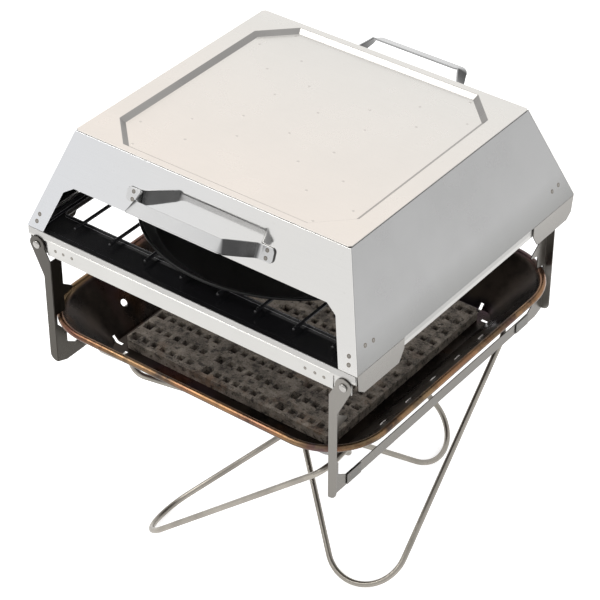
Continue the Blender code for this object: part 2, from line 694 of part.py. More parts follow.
def make_lap_plate(name, side, end):
    """Small plate over the joint of a leg and the bottom rail."""
    inner = LEG_WALL_X + LEG_SHEET + GAP
    near, far = sorted((side * inner, side * (inner + LEG_SHEET)))
    middle = LEG_FACE_Y - LEG_JOINT_REACH
    low = LEG_BOTTOM_Z + LAP_MARGIN
    high = LEG_BOTTOM_Z + BOTTOM_RAIL_HEIGHT
    y_low, y_high = sorted((end * (middle - LAP_HALF_LENGTH), end * (middle + LAP_HALF_LENGTH)))
    return add_object(name, box(bmesh.new(), (near, y_low, low), (far, y_high, high)), LEG_STEEL)


def tray_wall_slope():
    """Run and rise of the tray's sloping wall, from its floor to its top."""
    return WALL_TOP_HALF - FLOOR_HALF, RIM_Z - WALL_TOP_DROP - TRAY_FLOOR_Z


def tray_square(half, z):
    """Rounded square ring of the tray, whose corners share one centre as far as they can."""
    radius = max(RIM_CORNER_R - (RIM_HALF - half), FLOOR_CORNER_LEAST_R)
    return level_ring(rounded_rectangle(half, half, radius, 7), z)


def cut_tray_slits(cuts):
    """Add the row of slits in the right wall, cut level through its slope."""
    run, rise = tray_wall_slope()
    middle_z = RIM_Z - SLIT_DROP
    middle_x = WALL_TOP_HALF - (SLIT_DROP - WALL_TOP_DROP) * run / rise
    reach = SLIT_HEIGHT + 2 * TRAY_SHEET
    for index in range(SLIT_COUNT):
        y = SLIT_SHIFT + (index - (SLIT_COUNT - 1) / 2) * SLIT_PITCH
        box(cuts, (middle_x - reach, y - SLIT_LENGTH / 2, middle_z - SLIT_HEIGHT / 2),
            (middle_x + reach, y + SLIT_LENGTH / 2, middle_z + SLIT_HEIGHT / 2))


def cut_draught_holes(cuts):
    """Add a round hole square to the wall, in the left wall and, turned about the middle, in the right."""
    run, rise = tray_wall_slope()
    slant = math.hypot(run, rise)
    centre_x = WALL_TOP_HALF - (DRAUGHT_HOLE_DROP - WALL_TOP_DROP) * run / rise
    reach = 4 * TRAY_SHEET
    for side in (-1, 1):
        def place(a, b, distance, side=side):
            return Vector((side * (centre_x + (b * run + distance * rise) / slant), side * DRAUGHT_HOLE_Y + a,
                           RIM_Z - DRAUGHT_HOLE_DROP + (b * rise - distance * run) / slant))
        lathe(cuts, [(DRAUGHT_HOLE_R, -reach), (DRAUGHT_HOLE_R, reach)], place, 12)


def cut_drain_slots(cuts):
    """Add the short slots that cross the floor's bends near the corners."""
    low, high = TRAY_FLOOR_Z - 3 * TRAY_SHEET, TRAY_FLOOR_Z + DRAIN_SLOT_LENGTH
    along, across = DRAIN_SLOT_LENGTH / 2, DRAIN_SLOT_WIDTH / 2
    for sx in (-1, 1):
        for sy in (-1, 1):
            x, y = sx * FLOOR_HALF, sy * DRAIN_SLOT_SIDE_Y
            box(cuts, (x - along, y - across, low), (x + along, y + across, high))
            x, y = sx * DRAIN_SLOT_END_X, sy * FLOOR_HALF
            box(cuts, (x - across, y - along, low), (x + across, y + along, high))


def make_fire_tray():
    """Pressed tray with sloping walls, a rolled rim, slits, draught holes and drain slots."""
    wall = TRAY_SHEET
    top_z = RIM_Z - WALL_TOP_DROP
    rings = [tray_square(FLOOR_HALF + wall / 2, TRAY_FLOOR_Z - wall),
             tray_square(WALL_TOP_HALF + wall / 2, top_z - wall)]
    for angle in (225.0, 270.0, 315.0, 0.0, 45.0, 90.0, 135.0, 180.0):
        turn = math.radians(angle)
        rings.append(tray_square(RIM_HALF + RIM_TUBE_R * math.cos(turn), RIM_Z + RIM_TUBE_R * math.sin(turn)))
    rings += [tray_square(WALL_TOP_HALF, top_z), tray_square(FLOOR_HALF, TRAY_FLOOR_Z)]
    tray = add_object("fire_tray", loft(bmesh.new(), rings), FIRED_STEEL)
    cuts = bmesh.new()
    cut_tray_slits(cuts)
    cut_draught_holes(cuts)
    cut_drain_slots(cuts)
    boolean(tray, add_cutter("fire_tray_tool", cuts), "DIFFERENCE")
    return tray


def slab_hole_columns():
    """Place across and half width of each hole of a row, as far as the slab reaches."""
    columns = []
    for group in range(SLAB_GROUPS):
        start = SLAB_GROUP_START + group * SLAB_GROUP_PITCH
        columns.append((start, SLAB_FIRST_HOLE / 2))
        for index in range(SLAB_HOLES_IN_GROUP - 1):
            columns.append((start + SLAB_FIRST_STEP + index * SLAB_HOLE_PITCH, SLAB_HOLE / 2))
    return [(x, half) for x, half in columns if x + half < SLAB_HALF_X - SLAB_EDGE_WEB]


def make_charcoal_slab():
    """Cast slab with rows of square holes in groups that start with a larger one."""
    low = SLAB_TOP_Z - SLAB_THICKNESS
    outline = octagon(SLAB_HALF_X, SLAB_HALF_Y, SLAB_CORNER)
    rings = [level_ring(outline, low), level_ring(outline, SLAB_TOP_Z)]
    slab = add_object("charcoal_slab", loft(bmesh.new(), rings), CAST_IRON)
    cuts = bmesh.new()
    row_y = -SLAB_ROW_PITCH * (SLAB_ROWS - 1) / 2
    past = SLAB_THICKNESS / 4
    for x, half in slab_hole_columns():
        box(cuts, (x - half, row_y - half, low - past), (x + half, row_y + half, SLAB_TOP_Z + past))
    tool = add_cutter("charcoal_slab_tool", cuts)
    add_array(tool, SLAB_ROWS, (0.0, SLAB_ROW_PITCH, 0.0))
    boolean(slab, tool, "DIFFERENCE")
    return slab


def make_grate_pan():
    """Pressed border of the grate: a hollow raised edge outside and a lip round its opening."""
    half_x = SIDE_RAIL_HALF_X - RAIL_SHEET - 2 * GAP
    half_y = EAR_BACK_Y - 2 * GAP
    low = GRATE_UNDER_Z
    sheet = GRATE_SHEET
    edge_z = low + GRATE_EDGE_RISE
    inset = GRATE_EDGE_WIDTH
    outer = [(0.0, low), (0.0, edge_z), (inset, edge_z), (inset, low + sheet)]
    inner = [(inset - sheet, low), (inset - sheet, edge_z - sheet), (sheet, edge_z - sheet), (sheet, low)]
    lip = [(sheet, low + sheet), (sheet, GRATE_LIP_Z), (0.0, GRATE_LIP_Z), (0.0, low)]
    sizes = [(half_x - depth, half_y - depth, z) for depth, z in outer]
    sizes += [(GRATE_OPENING_HALF_X + depth, GRATE_OPENING_HALF_Y + depth, z) for depth, z in lip]
    sizes += [(half_x - depth, half_y - depth, z) for depth, z in inner]
    rings = [level_ring(rounded_rectangle(x, y, GRATE_CORNER_R, 2), z) for x, y, z in sizes]
    return add_object("grate_pan", loft(bmesh.new(), rings, cyclic=True), BLACK_ENAMEL)


def wire_row(count, pitch, half_length, z, along_y):
    """Closed skins of a row of straight round wires, with the copies as an Array."""
    bm = bmesh.new()
    first = -pitch * (count - 1) / 2
    end = GRATE_WIRE_R * 0.5

    def place(a, b, distance):
        return Vector((first + a, distance, z + b) if along_y else (distance, first + a, z + b))

    profile = [(GRATE_WIRE_R - end, -half_length), (GRATE_WIRE_R, end - half_length),
               (GRATE_WIRE_R, half_length - end), (GRATE_WIRE_R - end, half_length)]
    return lathe(bm, profile, place, 8)


def add_array(obj, count, offset):
    """Repeat an object at a constant step."""
    array = obj.modifiers.new("array", "ARRAY")
    array.count = count
    array.use_relative_offset = False
    array.use_constant_offset = True
    array.constant_offset_displace = offset


def make_grate_grid():
    """Welded grid: wires from front to back on three crossbars."""
    wires = wire_row(GRATE_WIRE_COUNT, GRATE_WIRE_PITCH, GRATE_WIRE_HALF, GRATE_WIRE_Z, True)
    bars = wire_row(GRATE_BAR_COUNT, GRATE_BAR_PITCH, GRATE_BAR_HALF, GRATE_BAR_Z, False)
    grid = add_object("grate_grid", bars, BLACK_ENAMEL)
    add_array(grid, GRATE_BAR_COUNT, (0.0, GRATE_BAR_PITCH, 0.0))
    tool = add_cutter("grate_grid_tool", wires)
    add_array(tool, GRATE_WIRE_COUNT, (GRATE_WIRE_PITCH, 0.0, 0.0))
    boolean(grid, tool, "UNION")
    return grid


def make_baking_pan():
    """Round shallow pan with a rolled edge."""
    low = PAN_UNDER_Z
    top = low + PAN_HEIGHT
    bead = PAN_BEAD_R
    wall = PAN_SHEET
    bead_z = top - bead
    profile = [(PAN_FLOOR_R - PAN_FLOOR_CORNER, low), (PAN_FLOOR_R, low + PAN_FLOOR_CORNER),
               (PAN_RIM_R - 2 * bead, bead_z - bead)]
    for angle in (270.0, 330.0, 30.0, 90.0, 150.0):
        turn = math.radians(angle)
        profile.append((PAN_RIM_R - bead + bead * math.cos(turn), bead_z + bead * math.sin(turn)))
    profile += [(PAN_RIM_R - 2 * bead - wall, bead_z - bead),
                (PAN_FLOOR_R - wall, low + PAN_FLOOR_CORNER + wall),
                (PAN_FLOOR_R - PAN_FLOOR_CORNER - wall, low + wall)]

    def place(a, b, distance):
        return Vector((PAN_X + a, PAN_Y + b, distance))

    return add_object("baking_pan", lathe(bmesh.new(), profile, place, 44), PAN_ENAMEL)


def stand_frame(quarter):
    """Rotation that turns the first wire loop into its quarter turn."""
    return Matrix.Rotation(STAND_YAW + quarter * math.pi / 2, 3, "Z")


def stand_hub_lift(quarter):
    """Height of a loop's pivot above the middle of the hub."""
    return STAND_HUB_LIFT if quarter % 2 == 0 else -STAND_HUB_LIFT


def stand_path(quarter):
    """Centre line of one closed wire loop: foot, side strand, top run, strand through the hub."""
    rise = math.sin(STAND_TILT)
    top_z = TRAY_FLOOR_Z - TRAY_SHEET - REST_GAP - STAND_WIRE_R
    top_q = (top_z - STAND_HUB_Z) / rise
    foot_q = STAND_FOOT_R - (STAND_HUB_Z - STAND_WIRE_R) / rise
    foot_p = STAND_FOOT_R - STAND_SIDE
    offset = STAND_HUB_OFFSET
    # The strand through the hub leaves the foot's circle as a tangent.
    reach = math.hypot(offset - foot_p, foot_q)
    lean = math.atan2(offset - foot_p, -foot_q) - math.asin(STAND_FOOT_R / reach)
    slope = math.tan(lean)
    apex = Vector((-STAND_SIDE, (-STAND_SIDE - offset) / slope))
    outer = Vector((-STAND_SIDE, top_q))
    inner = Vector((offset + top_q * slope, top_q))
    flat = round_corner(inner, apex, outer, STAND_FOOT_R, 12)
    flat += round_corner(apex, outer, inner, STAND_TOP_R, 5)
    flat += round_corner(outer, inner, apex, STAND_TOP_R, 6)
    points = [Vector((p.y * math.cos(STAND_TILT), p.x, STAND_HUB_Z + p.y * rise)) for p in flat]
    along = Vector((math.cos(lean) * math.cos(STAND_TILT), math.sin(lean), math.cos(lean) * rise))
    hub = Vector((0.0, offset, STAND_HUB_Z))
    lift = stand_hub_lift(quarter)
    end = STAND_JOG_FLAT + STAND_JOG_LENGTH
    quarter_jog = STAND_JOG_LENGTH / 4
    jogs = ((end, 0.0), (end - quarter_jog, 0.12), (STAND_JOG_FLAT + quarter_jog, 0.88), (STAND_JOG_FLAT, 1.0))
    for distance, share in jogs:
        points.append(hub + along * distance + Vector((0.0, 0.0, lift * share)))
    for distance, share in reversed(jogs):
        points.append(hub - along * distance + Vector((0.0, 0.0, lift * share)))
    turn = stand_frame(quarter)
    return [turn @ p for p in points]


def pin_place(quarter):
    """Placement along the pivot axis of a pair of loops."""
    turn = stand_frame(quarter)
    centre = Vector((0.0, 0.0, STAND_HUB_Z + stand_hub_lift(quarter)))

    def place(a, b, distance):
        return centre + turn @ Vector((a, distance, 0.0)) + Vector((0.0, 0.0, b))

    return place


def make_stand_loop(name, quarter):
    """One of the four bent wire loops of the stand."""
    normal = stand_frame(quarter) @ Vector((-math.sin(STAND_TILT), 0.0, math.cos(STAND_TILT)))
    bm = sweep_ring(bmesh.new(), stand_path(quarter), normal, STAND_WIRE_R, 8)
    loop = add_object(name, bm, NICKEL_WIRE)
    hole = STAND_PIN_R + GAP
    reach = STAND_PIN_HALF + STAND_PIN_HEAD
    bore = lathe(bmesh.new(), [(hole, -reach), (hole, reach)], pin_place(quarter), 10)
    boolean(loop, add_cutter(name + "_hole_tool", bore), "DIFFERENCE")
    return loop


def make_stand_pin(name, quarter):
    """Rivet through a crossing pair of loops."""
    half = STAND_PIN_HALF
    head = STAND_PIN_HEAD
    profile = [(STAND_PIN_HEAD_R * 0.7, -half - head), (STAND_PIN_HEAD_R, -half - head / 2),
               (STAND_PIN_HEAD_R, -half), (STAND_PIN_R, -half), (STAND_PIN_R, half), (STAND_PIN_HEAD_R, half),
               (STAND_PIN_HEAD_R, half + head / 2), (STAND_PIN_HEAD_R * 0.7, half + head)]
    return add_object(name, lathe(bmesh.new(), profile, pin_place(quarter), 10), NICKEL_WIRE)


def main():
    """Build every sub-part."""
    clear_scene()
    make_hood_top()
    make_hood_brace()
    for word, end in (("front", -1), ("back", 1)):
        make_hood_face(f"hood_{word}_panel", end)
        make_handle(f"{word}_handle", end)
        make_end_rail(f"{word}_rail", end)
    for word, side in (("left", -1), ("right", 1)):
        make_hood_side(f"hood_{word}_panel", side)
        make_side_rail(f"{word}_rail", side)
        make_bottom_rail(f"{word}_bottom_rail", side)
        for place, end in (("front", -1), ("back", 1)):
            make_leg(f"{word}_{place}_leg", side, end)
            make_pin(f"{word}_{place}_pivot_pin", side, end)
            make_washer(f"{word}_{place}_pivot_washer", side, end)
            make_lap_plate(f"{word}_{place}_lap_plate", side, end)
            make_hood_skirt(f"hood_{word}_{place}_skirt", side, end)
    make_grate_pan()
    make_grate_grid()
    make_baking_pan()
    make_fire_tray()
    make_charcoal_slab()
    for quarter, letter in enumerate("abcd"):
        make_stand_loop(f"stand_loop_{letter}", quarter)
    make_stand_pin("stand_pin_upper", 0)
    make_stand_pin("stand_pin_lower", 1)


main()
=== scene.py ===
"""Looks of the folding camp oven: finishes, smooth wires, rolled rims, weld spots and the studio.

Metres, +Z up, front at -Y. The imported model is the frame, and each piece rides on one of its bodies.
"""

import logging
import math
from dataclasses import dataclass
from enum import Enum
from typing import Callable, Sequence

import bmesh
import bpy
from mathutils import Matrix, Vector


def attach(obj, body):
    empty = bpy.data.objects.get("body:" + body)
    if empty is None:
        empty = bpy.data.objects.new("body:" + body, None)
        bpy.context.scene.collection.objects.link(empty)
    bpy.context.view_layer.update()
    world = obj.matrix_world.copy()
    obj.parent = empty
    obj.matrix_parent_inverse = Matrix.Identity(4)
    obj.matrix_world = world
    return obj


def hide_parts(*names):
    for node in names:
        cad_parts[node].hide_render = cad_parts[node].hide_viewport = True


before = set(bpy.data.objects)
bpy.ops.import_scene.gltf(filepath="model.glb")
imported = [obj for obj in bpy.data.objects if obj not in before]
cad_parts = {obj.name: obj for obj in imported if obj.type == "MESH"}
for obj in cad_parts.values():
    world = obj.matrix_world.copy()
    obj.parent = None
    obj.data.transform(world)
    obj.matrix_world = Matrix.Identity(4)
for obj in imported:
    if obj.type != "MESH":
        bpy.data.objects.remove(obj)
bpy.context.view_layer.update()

LOG = logging.getLogger("camp_oven")

Colour = tuple[float, float, float]
Point = tuple[float, float]
Placing = Callable[[float, float, float], Vector]

# Lower edge of the hood, and the gap between pieces that rest on each other
HOOD_BASE_Z = 0.392
GAP = 0.0003

# How far a weld spot stands off its sheet, and its rings: share of the radius and rise
SPOT_LIFT = 0.00002
SPOT_RINGS = ((1.0, 0.0), (0.94, 0.00008), (0.66, 0.00010), (0.54, 0.00004), (0.30, 0.00012),
              (0.08, 0.00015))
SPOT_HALO_RINGS = 2
SPOT_SIDES = 20

# Domed end of an open wire: its length in radii, and share of the radius and rise of its rings
DOME_LENGTH = 0.6
DOME_RINGS = ((0.87, 0.5), (0.5, 0.87), (0.12, 1.0))

WHITE = (1.0, 1.0, 1.0)


class Place(Enum):
    """A choice of place whose name stands in the nodes' names."""

    @property
    def word(self) -> str:
        """Return the name as the nodes have it."""
        return self.name.lower()


class Side(Place):
    """Left or right of someone who faces the front window."""

    LEFT = -1
    RIGHT = 1


class End(Place):
    """Front or back end of the oven."""

    FRONT = -1
    BACK = 1


class Axis(Enum):
    """Direction in which a sheet's grain runs or its tone changes."""

    X = 0
    Y = 1
    Z = 2


def opaque(colour: Colour) -> tuple[float, float, float, float]:
    """Return a colour with full alpha, as the sockets take it."""
    return (*colour, 1.0)


def dimmed(colour: Colour, share: float) -> Colour:
    """Return a colour with each channel scaled."""
    return tuple(value * share for value in colour)


def ease(share: float) -> float:
    """Return a share that starts and ends slowly."""
    return share * share * (3 - 2 * share)


class Graph:
    """Adds and joins shader nodes in one tree."""

    def __init__(self, tree: bpy.types.NodeTree) -> None:
        """Keep the tree that the nodes go into."""
        self.tree = tree

    def add(self, kind: str, inputs: dict | None = None, **settings: object) -> bpy.types.Node:
        """Add a node.

        Args:
            kind: Blender's name of the node type.
            inputs: values or sockets for its inputs, by name or number.
            settings: attributes of the node.

        Returns:
            The new node.
        """
        node = self.tree.nodes.new(kind)
        for name, value in settings.items():
            setattr(node, name, value)
        for key, value in (inputs or {}).items():
            if isinstance(value, bpy.types.NodeSocket):
                self.tree.links.new(value, node.inputs[key])
            else:
                node.inputs[key].default_value = value
        return node

    def math(self, operation: str, a: object, b: object = 0.0) -> bpy.types.NodeSocket:
        """Return the output of a Math node of two values."""
        return self.add("ShaderNodeMath", {0: a, 1: b}, operation=operation).outputs[0]

    def times(self, a: object, b: object) -> bpy.types.NodeSocket:
        """Return the product of two values."""
        return self.math("MULTIPLY", a, b)

    def mix(self, share: object, a: object, b: object) -> bpy.types.NodeSocket:
        """Mix two colours.

        Args:
            share: how much of the second colour shows.
            a: the first colour, plain or as a socket.
            b: the second colour, plain or as a socket.

        Returns:
            The socket of the mixed colour.
        """
        a, b = (opaque(one) if isinstance(one, tuple) else one for one in (a, b))
        node = self.add("ShaderNodeMix", {0: share, 6: a, 7: b}, data_type="RGBA")
        return node.outputs[2]

    def spread(self, value: object, low: float, high: float, to_low: float = 0.0,
               to_high: float = 1.0) -> bpy.types.NodeSocket:
        """Return a value mapped from one range to another, clamped."""
        inputs = {"Value": value, "From Min": low, "From Max": high, "To Min": to_low, "To Max": to_high}
        return self.add("ShaderNodeMapRange", inputs).outputs[0]

    def place(self) -> bpy.types.NodeSocket:
        """Return the place on the surface in the object's own metres."""
        return self.add("ShaderNodeTexCoord").outputs["Object"]

    def part(self, axis: Axis) -> bpy.types.NodeSocket:
        """Return one coordinate of the place on the surface."""
        return self.add("ShaderNodeSeparateXYZ", {0: self.place()}).outputs[axis.value]

    def noise(self, scale: object, detail: float, vector: object,
              roughness: float = 0.55) -> bpy.types.NodeSocket:
        """Return a noise value of the place."""
        inputs = {"Vector": vector, "Scale": scale, "Detail": detail, "Roughness": roughness}
        return self.add("ShaderNodeTexNoise", inputs).outputs[0]


def new_group(name: str, inputs: Sequence[tuple[str, str, object]],
              outputs: Sequence[tuple[str, str]]) -> tuple[Graph, dict, bpy.types.Node]:
    """Start a shader node group with named sockets.

    Args:
        name: the group's name.
        inputs: name, socket type and default of each input.
        outputs: name and socket type of each output.

    Returns:
        The group's graph, the input sockets by name and the output node.
    """
    tree = bpy.data.node_groups.new(name, "ShaderNodeTree")
    for label, kind, value in inputs:
        socket = tree.interface.new_socket(name=label, in_out="INPUT", socket_type=kind)
        socket.default_value = value
    for label, kind in outputs:
        tree.interface.new_socket(name=label, in_out="OUTPUT", socket_type=kind)
    graph = Graph(tree)
    source = graph.add("NodeGroupInput")
    sink = graph.add("NodeGroupOutput")
    return graph, {label: source.outputs[label] for label, _, _ in inputs}, sink


class Effects:
    """Shader node groups that more than one finish uses, each built once."""

    heat_stops = ((0.0, (0.32, 0.22, 0.10)), (0.3, (0.46, 0.22, 0.08)), (0.5, (0.28, 0.10, 0.06)),
                  (0.68, (0.13, 0.06, 0.10)), (0.84, (0.06, 0.06, 0.11)), (1.0, (0.16, 0.13, 0.09)))

    def __init__(self) -> None:
        """Build the groups."""
        self.grain = self.build_grain()
        self.smudge = self.build_smudge()
        self.mottle = self.build_mottle()
        self.heat = self.build_heat()

    def build_grain(self) -> bpy.types.NodeTree:
        """Build fine drawn grain: a stretched noise as a height and a shift of brightness.

        Returns:
            The group.
        """
        graph, use, sink = new_group(
            "drawn_grain",
            [("Stretch", "NodeSocketVector", (900.0, 30.0, 900.0)),
             ("Strength", "NodeSocketFloat", 0.05)],
            [("Height", "NodeSocketFloat"), ("Shift", "NodeSocketFloat")])
        along = graph.add("ShaderNodeVectorMath", {0: graph.place(), 1: use["Stretch"]},
                          operation="MULTIPLY")
        value = graph.noise(1.0, 3.0, along.outputs[0], 0.65)
        shift = graph.times(graph.math("SUBTRACT", value, 0.5), use["Strength"])
        graph.tree.links.new(value, sink.inputs["Height"])
        graph.tree.links.new(graph.math("ADD", shift, 1.0), sink.inputs["Shift"])
        return graph.tree

    def build_smudge(self) -> bpy.types.NodeTree:
        """Build the cloudy haze and the fine specks that handling leaves on a surface.

        Returns:
            The group.
        """
        graph, use, sink = new_group(
            "hand_haze", [("Scale", "NodeSocketFloat", 14.0)],
            [("Mask", "NodeSocketFloat"), ("Specks", "NodeSocketFloat")])
        cloud = graph.noise(use["Scale"], 4.0, graph.place())
        fine = graph.noise(graph.times(use["Scale"], 40.0), 2.0, graph.place())
        graph.tree.links.new(graph.spread(cloud, 0.42, 0.68), sink.inputs["Mask"])
        graph.tree.links.new(graph.spread(fine, 0.66, 0.74), sink.inputs["Specks"])
        return graph.tree

    def build_mottle(self) -> bpy.types.NodeTree:
        """Build a two-scale mottle between two colours, with its height.

        Returns:
            The group.
        """
        graph, use, sink = new_group(
            "burnt_mottle",
            [("Scale", "NodeSocketFloat", 60.0), ("Fine", "NodeSocketFloat", 0.4),
             ("Low", "NodeSocketColor", (0.02, 0.02, 0.02, 1.0)),
             ("High", "NodeSocketColor", (0.10, 0.08, 0.07, 1.0))],
            [("Color", "NodeSocketColor"), ("Height", "NodeSocketFloat")])
        broad = graph.noise(use["Scale"], 5.0, graph.place(), 0.62)
        fine = graph.noise(graph.times(use["Scale"], 9.0), 4.0, graph.place(), 0.7)
        main = graph.times(broad, graph.math("SUBTRACT", 1.0, use["Fine"]))
        both = graph.math("ADD", main, graph.times(fine, use["Fine"]))
        share = graph.spread(both, 0.36, 0.64)
        graph.tree.links.new(graph.mix(share, use["Low"], use["High"]), sink.inputs["Color"])
        graph.tree.links.new(both, sink.inputs["Height"])
        return graph.tree

    def build_heat(self) -> bpy.types.NodeTree:
        """Build the straw, copper, purple and blue bands that heat leaves on steel.

        Returns:
            The group.
        """
        graph, use, sink = new_group(
            "heat_tint", [("Scale", "NodeSocketFloat", 9.0), ("Push", "NodeSocketFloat", 0.0)],
            [("Color", "NodeSocketColor")])
        wave = graph.noise(use["Scale"], 3.0, graph.place(), 0.6)
        share = graph.math("ADD", graph.spread(wave, 0.3, 0.7), use["Push"])
        ramp = graph.add("ShaderNodeValToRGB", {0: share})
        points = ramp.color_ramp.elements
        while len(points) < len(self.heat_stops):
            points.new(0.5)
        for point, (place, colour) in zip(points, self.heat_stops):
            point.position = place
            point.color = opaque(colour)
        graph.tree.links.new(ramp.outputs[0], sink.inputs["Color"])
        return graph.tree


class Bench(Graph):
    """The nodes of one material: its shader and the effects that may feed it."""

    def __init__(self, material: bpy.types.Material, effects: Effects) -> None:
        """Start from the material's own shader.

        Args:
            material: the material, with its nodes in use.
            effects: the shared node groups.
        """
        super().__init__(material.node_tree)
        self.shader = material.node_tree.nodes["Principled BSDF"]
        self.effects = effects

    def use(self, group: bpy.types.NodeTree, **values: object) -> bpy.types.Node:
        """Place a shared group with values for its inputs."""
        return self.add("ShaderNodeGroup", values, node_tree=group)

    def surface(self, colour: bpy.types.NodeSocket, rough: bpy.types.NodeSocket,
                metallic: float) -> None:
        """Feed the shader.

        Args:
            colour: the base colour.
            rough: the roughness.
            metallic: how metallic it is all over.
        """
        self.tree.links.new(colour, self.shader.inputs["Base Color"])
        self.tree.links.new(rough, self.shader.inputs["Roughness"])
        self.shader.inputs["Metallic"].default_value = metallic

    def bump(self, height: bpy.types.NodeSocket, strength: float, distance: float) -> None:
        """Let a height feed the shader's normal."""
        node = self.add("ShaderNodeBump", {"Height": height, "Strength": strength, "Distance": distance})
        self.tree.links.new(node.outputs[0], self.shader.inputs["Normal"])


class Finish:
    """A material that is made once and then shared."""

    name: str

    def material(self, effects: Effects) -> bpy.types.Material:
        """Return the finish's material, made at the first call.

        Args:
            effects: the shared node groups.

        Returns:
            The material.
        """
        if self.name in bpy.data.materials:
            return bpy.data.materials[self.name]
        made = bpy.data.materials.new(self.name)
        made.use_nodes = True
        self.fill(Bench(made, effects))
        return made

    def fill(self, bench: Bench) -> None:
        """Add the finish's own nodes."""
        raise NotImplementedError


@dataclass(frozen=True)
class Cloud:
    """A noise mask that lies between two levels of the noise."""

    scale: float
    detail: float
    low: float
    high: float
    roughness: float = 0.55

    def mask(self, graph: Graph) -> bpy.types.NodeSocket:
        """Return the mask, from 0 to 1."""
        value = graph.noise(self.scale, self.detail, graph.place(), self.roughness)
        return graph.spread(value, self.low, self.high)


@dataclass(frozen=True)
class FacingPaintedShade:
    """Painted shade: a darker colour on the surfaces that face along a direction of the piece."""

    along: Colour
    low: float
    high: float
    colour: Colour
    both_ways: bool = False

    def apply(self, graph: Graph, colour: bpy.types.NodeSocket) -> bpy.types.NodeSocket:
        """Mix the painted shade into a colour by the surface's direction.

        Args:
            graph: the material's nodes.
            colour: the colour without the painted shade.

        Returns:
            The shaded colour.
        """
        # The colour with the painted shade.
        facing = graph.add("ShaderNodeTexCoord").outputs["Normal"]
        turned = graph.add("ShaderNodeVectorMath", {0: facing, 1: self.along}, operation="DOT_PRODUCT")
        value = turned.outputs["Value"]
        if self.both_ways:
            value = graph.math("ABSOLUTE", value)
        return graph.mix(graph.spread(value, self.low, self.high), colour, self.colour)


@dataclass(frozen=True)
class SheetSteel(Finish):
    """Stainless sheet: drawn grain, haze, a slow change of tone along one axis, painted shade by facing.
    """

    name: str
    near: Colour
    far: Colour
    tone_axis: Axis
    tone_from: float
    tone_to: float
    grain_axis: Axis
    roughness: float
    grain: float = 0.07
    haze: float = 0.12
    painted_shades: tuple[FacingPaintedShade, ...] = ()
    stretch_across: float = 1400.0
    stretch_along: float = 22.0
    haze_scale: float = 11.0
    haze_tone: float = 0.80
    haze_rough: float = 0.06
    speck_share: float = 0.10
    speck: Colour = (0.30, 0.28, 0.26)
    bump_strength: float = 0.10
    bump_depth: float = 0.00004

    def fill(self, bench: Bench) -> None:
        """Add tone, painted shade by facing, grain and haze.

        Args:
            bench: the material's nodes.
        """
        stretch = [self.stretch_across] * 3
        stretch[self.grain_axis.value] = self.stretch_along
        grain = bench.use(bench.effects.grain, Stretch=stretch, Strength=self.grain)
        haze = bench.use(bench.effects.smudge, Scale=self.haze_scale)
        tone = bench.spread(bench.part(self.tone_axis), self.tone_from, self.tone_to)
        base = bench.mix(tone, self.near, self.far)
        # Painted shade by facing, mixed into the base colour
        for shade in self.painted_shades:
            base = shade.apply(bench, base)
        shift = bench.add("ShaderNodeCombineXYZ", {i: grain.outputs["Shift"] for i in range(3)})
        lit = bench.add("ShaderNodeVectorMath", {0: base, 1: shift.outputs[0]}, operation="MULTIPLY")
        hazed = bench.mix(bench.times(haze.outputs["Mask"], self.haze), lit.outputs[0],
                          dimmed(self.near, self.haze_tone))
        specks = bench.times(haze.outputs["Specks"], self.speck_share)
        rough = bench.add("ShaderNodeMath",
                          {0: haze.outputs["Mask"], 1: self.haze_rough, 2: self.roughness},
                          operation="MULTIPLY_ADD")
        bench.surface(bench.mix(specks, hazed, self.speck), rough.outputs[0], 1.0)
        bench.bump(grain.outputs["Height"], self.bump_strength, self.bump_depth)


@dataclass(frozen=True)
class FiredSteel(Finish):
    """Soot-dark tray steel, oily heat tints, and a copper and gold rim of heat tint and painted highlight.
    """

    name: str
    rim_low: float
    rim_high: float
    soot_scale: float = 14.0
    soot_fine: float = 0.12
    soot: tuple[Colour, Colour] = ((0.008, 0.007, 0.007), (0.066, 0.050, 0.040))
    tint_scale: float = 7.0
    tint_push: float = 0.05
    tinted: Cloud = Cloud(8.0, 4.0, 0.50, 0.72)
    tint_share: float = 0.55
    rim_scale: float = 5.0
    rim_push: float = -0.18
    rim_burnt: Colour = (0.14, 0.10, 0.07)
    burnt_share: float = 0.55
    wobble_scale: float = 30.0
    wobble: float = 0.004
    stained: Cloud = Cloud(16.0, 5.0, 0.46, 0.60, 0.7)
    stain_share: float = 0.95
    rough: Point = (0.16, 0.42)
    metallic: float = 0.85
    bump_strength: float = 0.25
    bump_depth: float = 0.0004

    def fill(self, bench: Bench) -> None:
        """Mix soot, tints and the rim band, heat tint and painted highlight, by height.

        Args:
            bench: the material's nodes.
        """
        effects = bench.effects
        soot = bench.use(effects.mottle, Scale=self.soot_scale, Fine=self.soot_fine,
                         Low=opaque(self.soot[0]), High=opaque(self.soot[1]))
        tint = bench.use(effects.heat, Scale=self.tint_scale, Push=self.tint_push)
        wall = bench.mix(bench.times(self.tinted.mask(bench), self.tint_share),
                         soot.outputs["Color"], tint.outputs["Color"])
        # Rim band: heat tint and painted highlight along the top of the rolled rim
        edge = bench.use(effects.heat, Scale=self.rim_scale, Push=self.rim_push)
        rim_tint_and_highlight = bench.mix(self.burnt_share, edge.outputs["Color"], self.rim_burnt)
        wobble = bench.times(bench.noise(self.wobble_scale, 3.0, bench.place()), self.wobble)
        height = bench.math("SUBTRACT", bench.part(Axis.Z), wobble)
        rim = bench.spread(height, self.rim_low, self.rim_high)
        stains = bench.times(self.stained.mask(bench), self.stain_share)
        clear = bench.times(rim, bench.math("SUBTRACT", 1.0, stains))
        rough = bench.spread(soot.outputs["Height"], 0.35, 0.65, *self.rough)
        bench.surface(bench.mix(clear, wall, rim_tint_and_highlight), rough, self.metallic)
        bench.bump(soot.outputs["Height"], self.bump_strength, self.bump_depth)


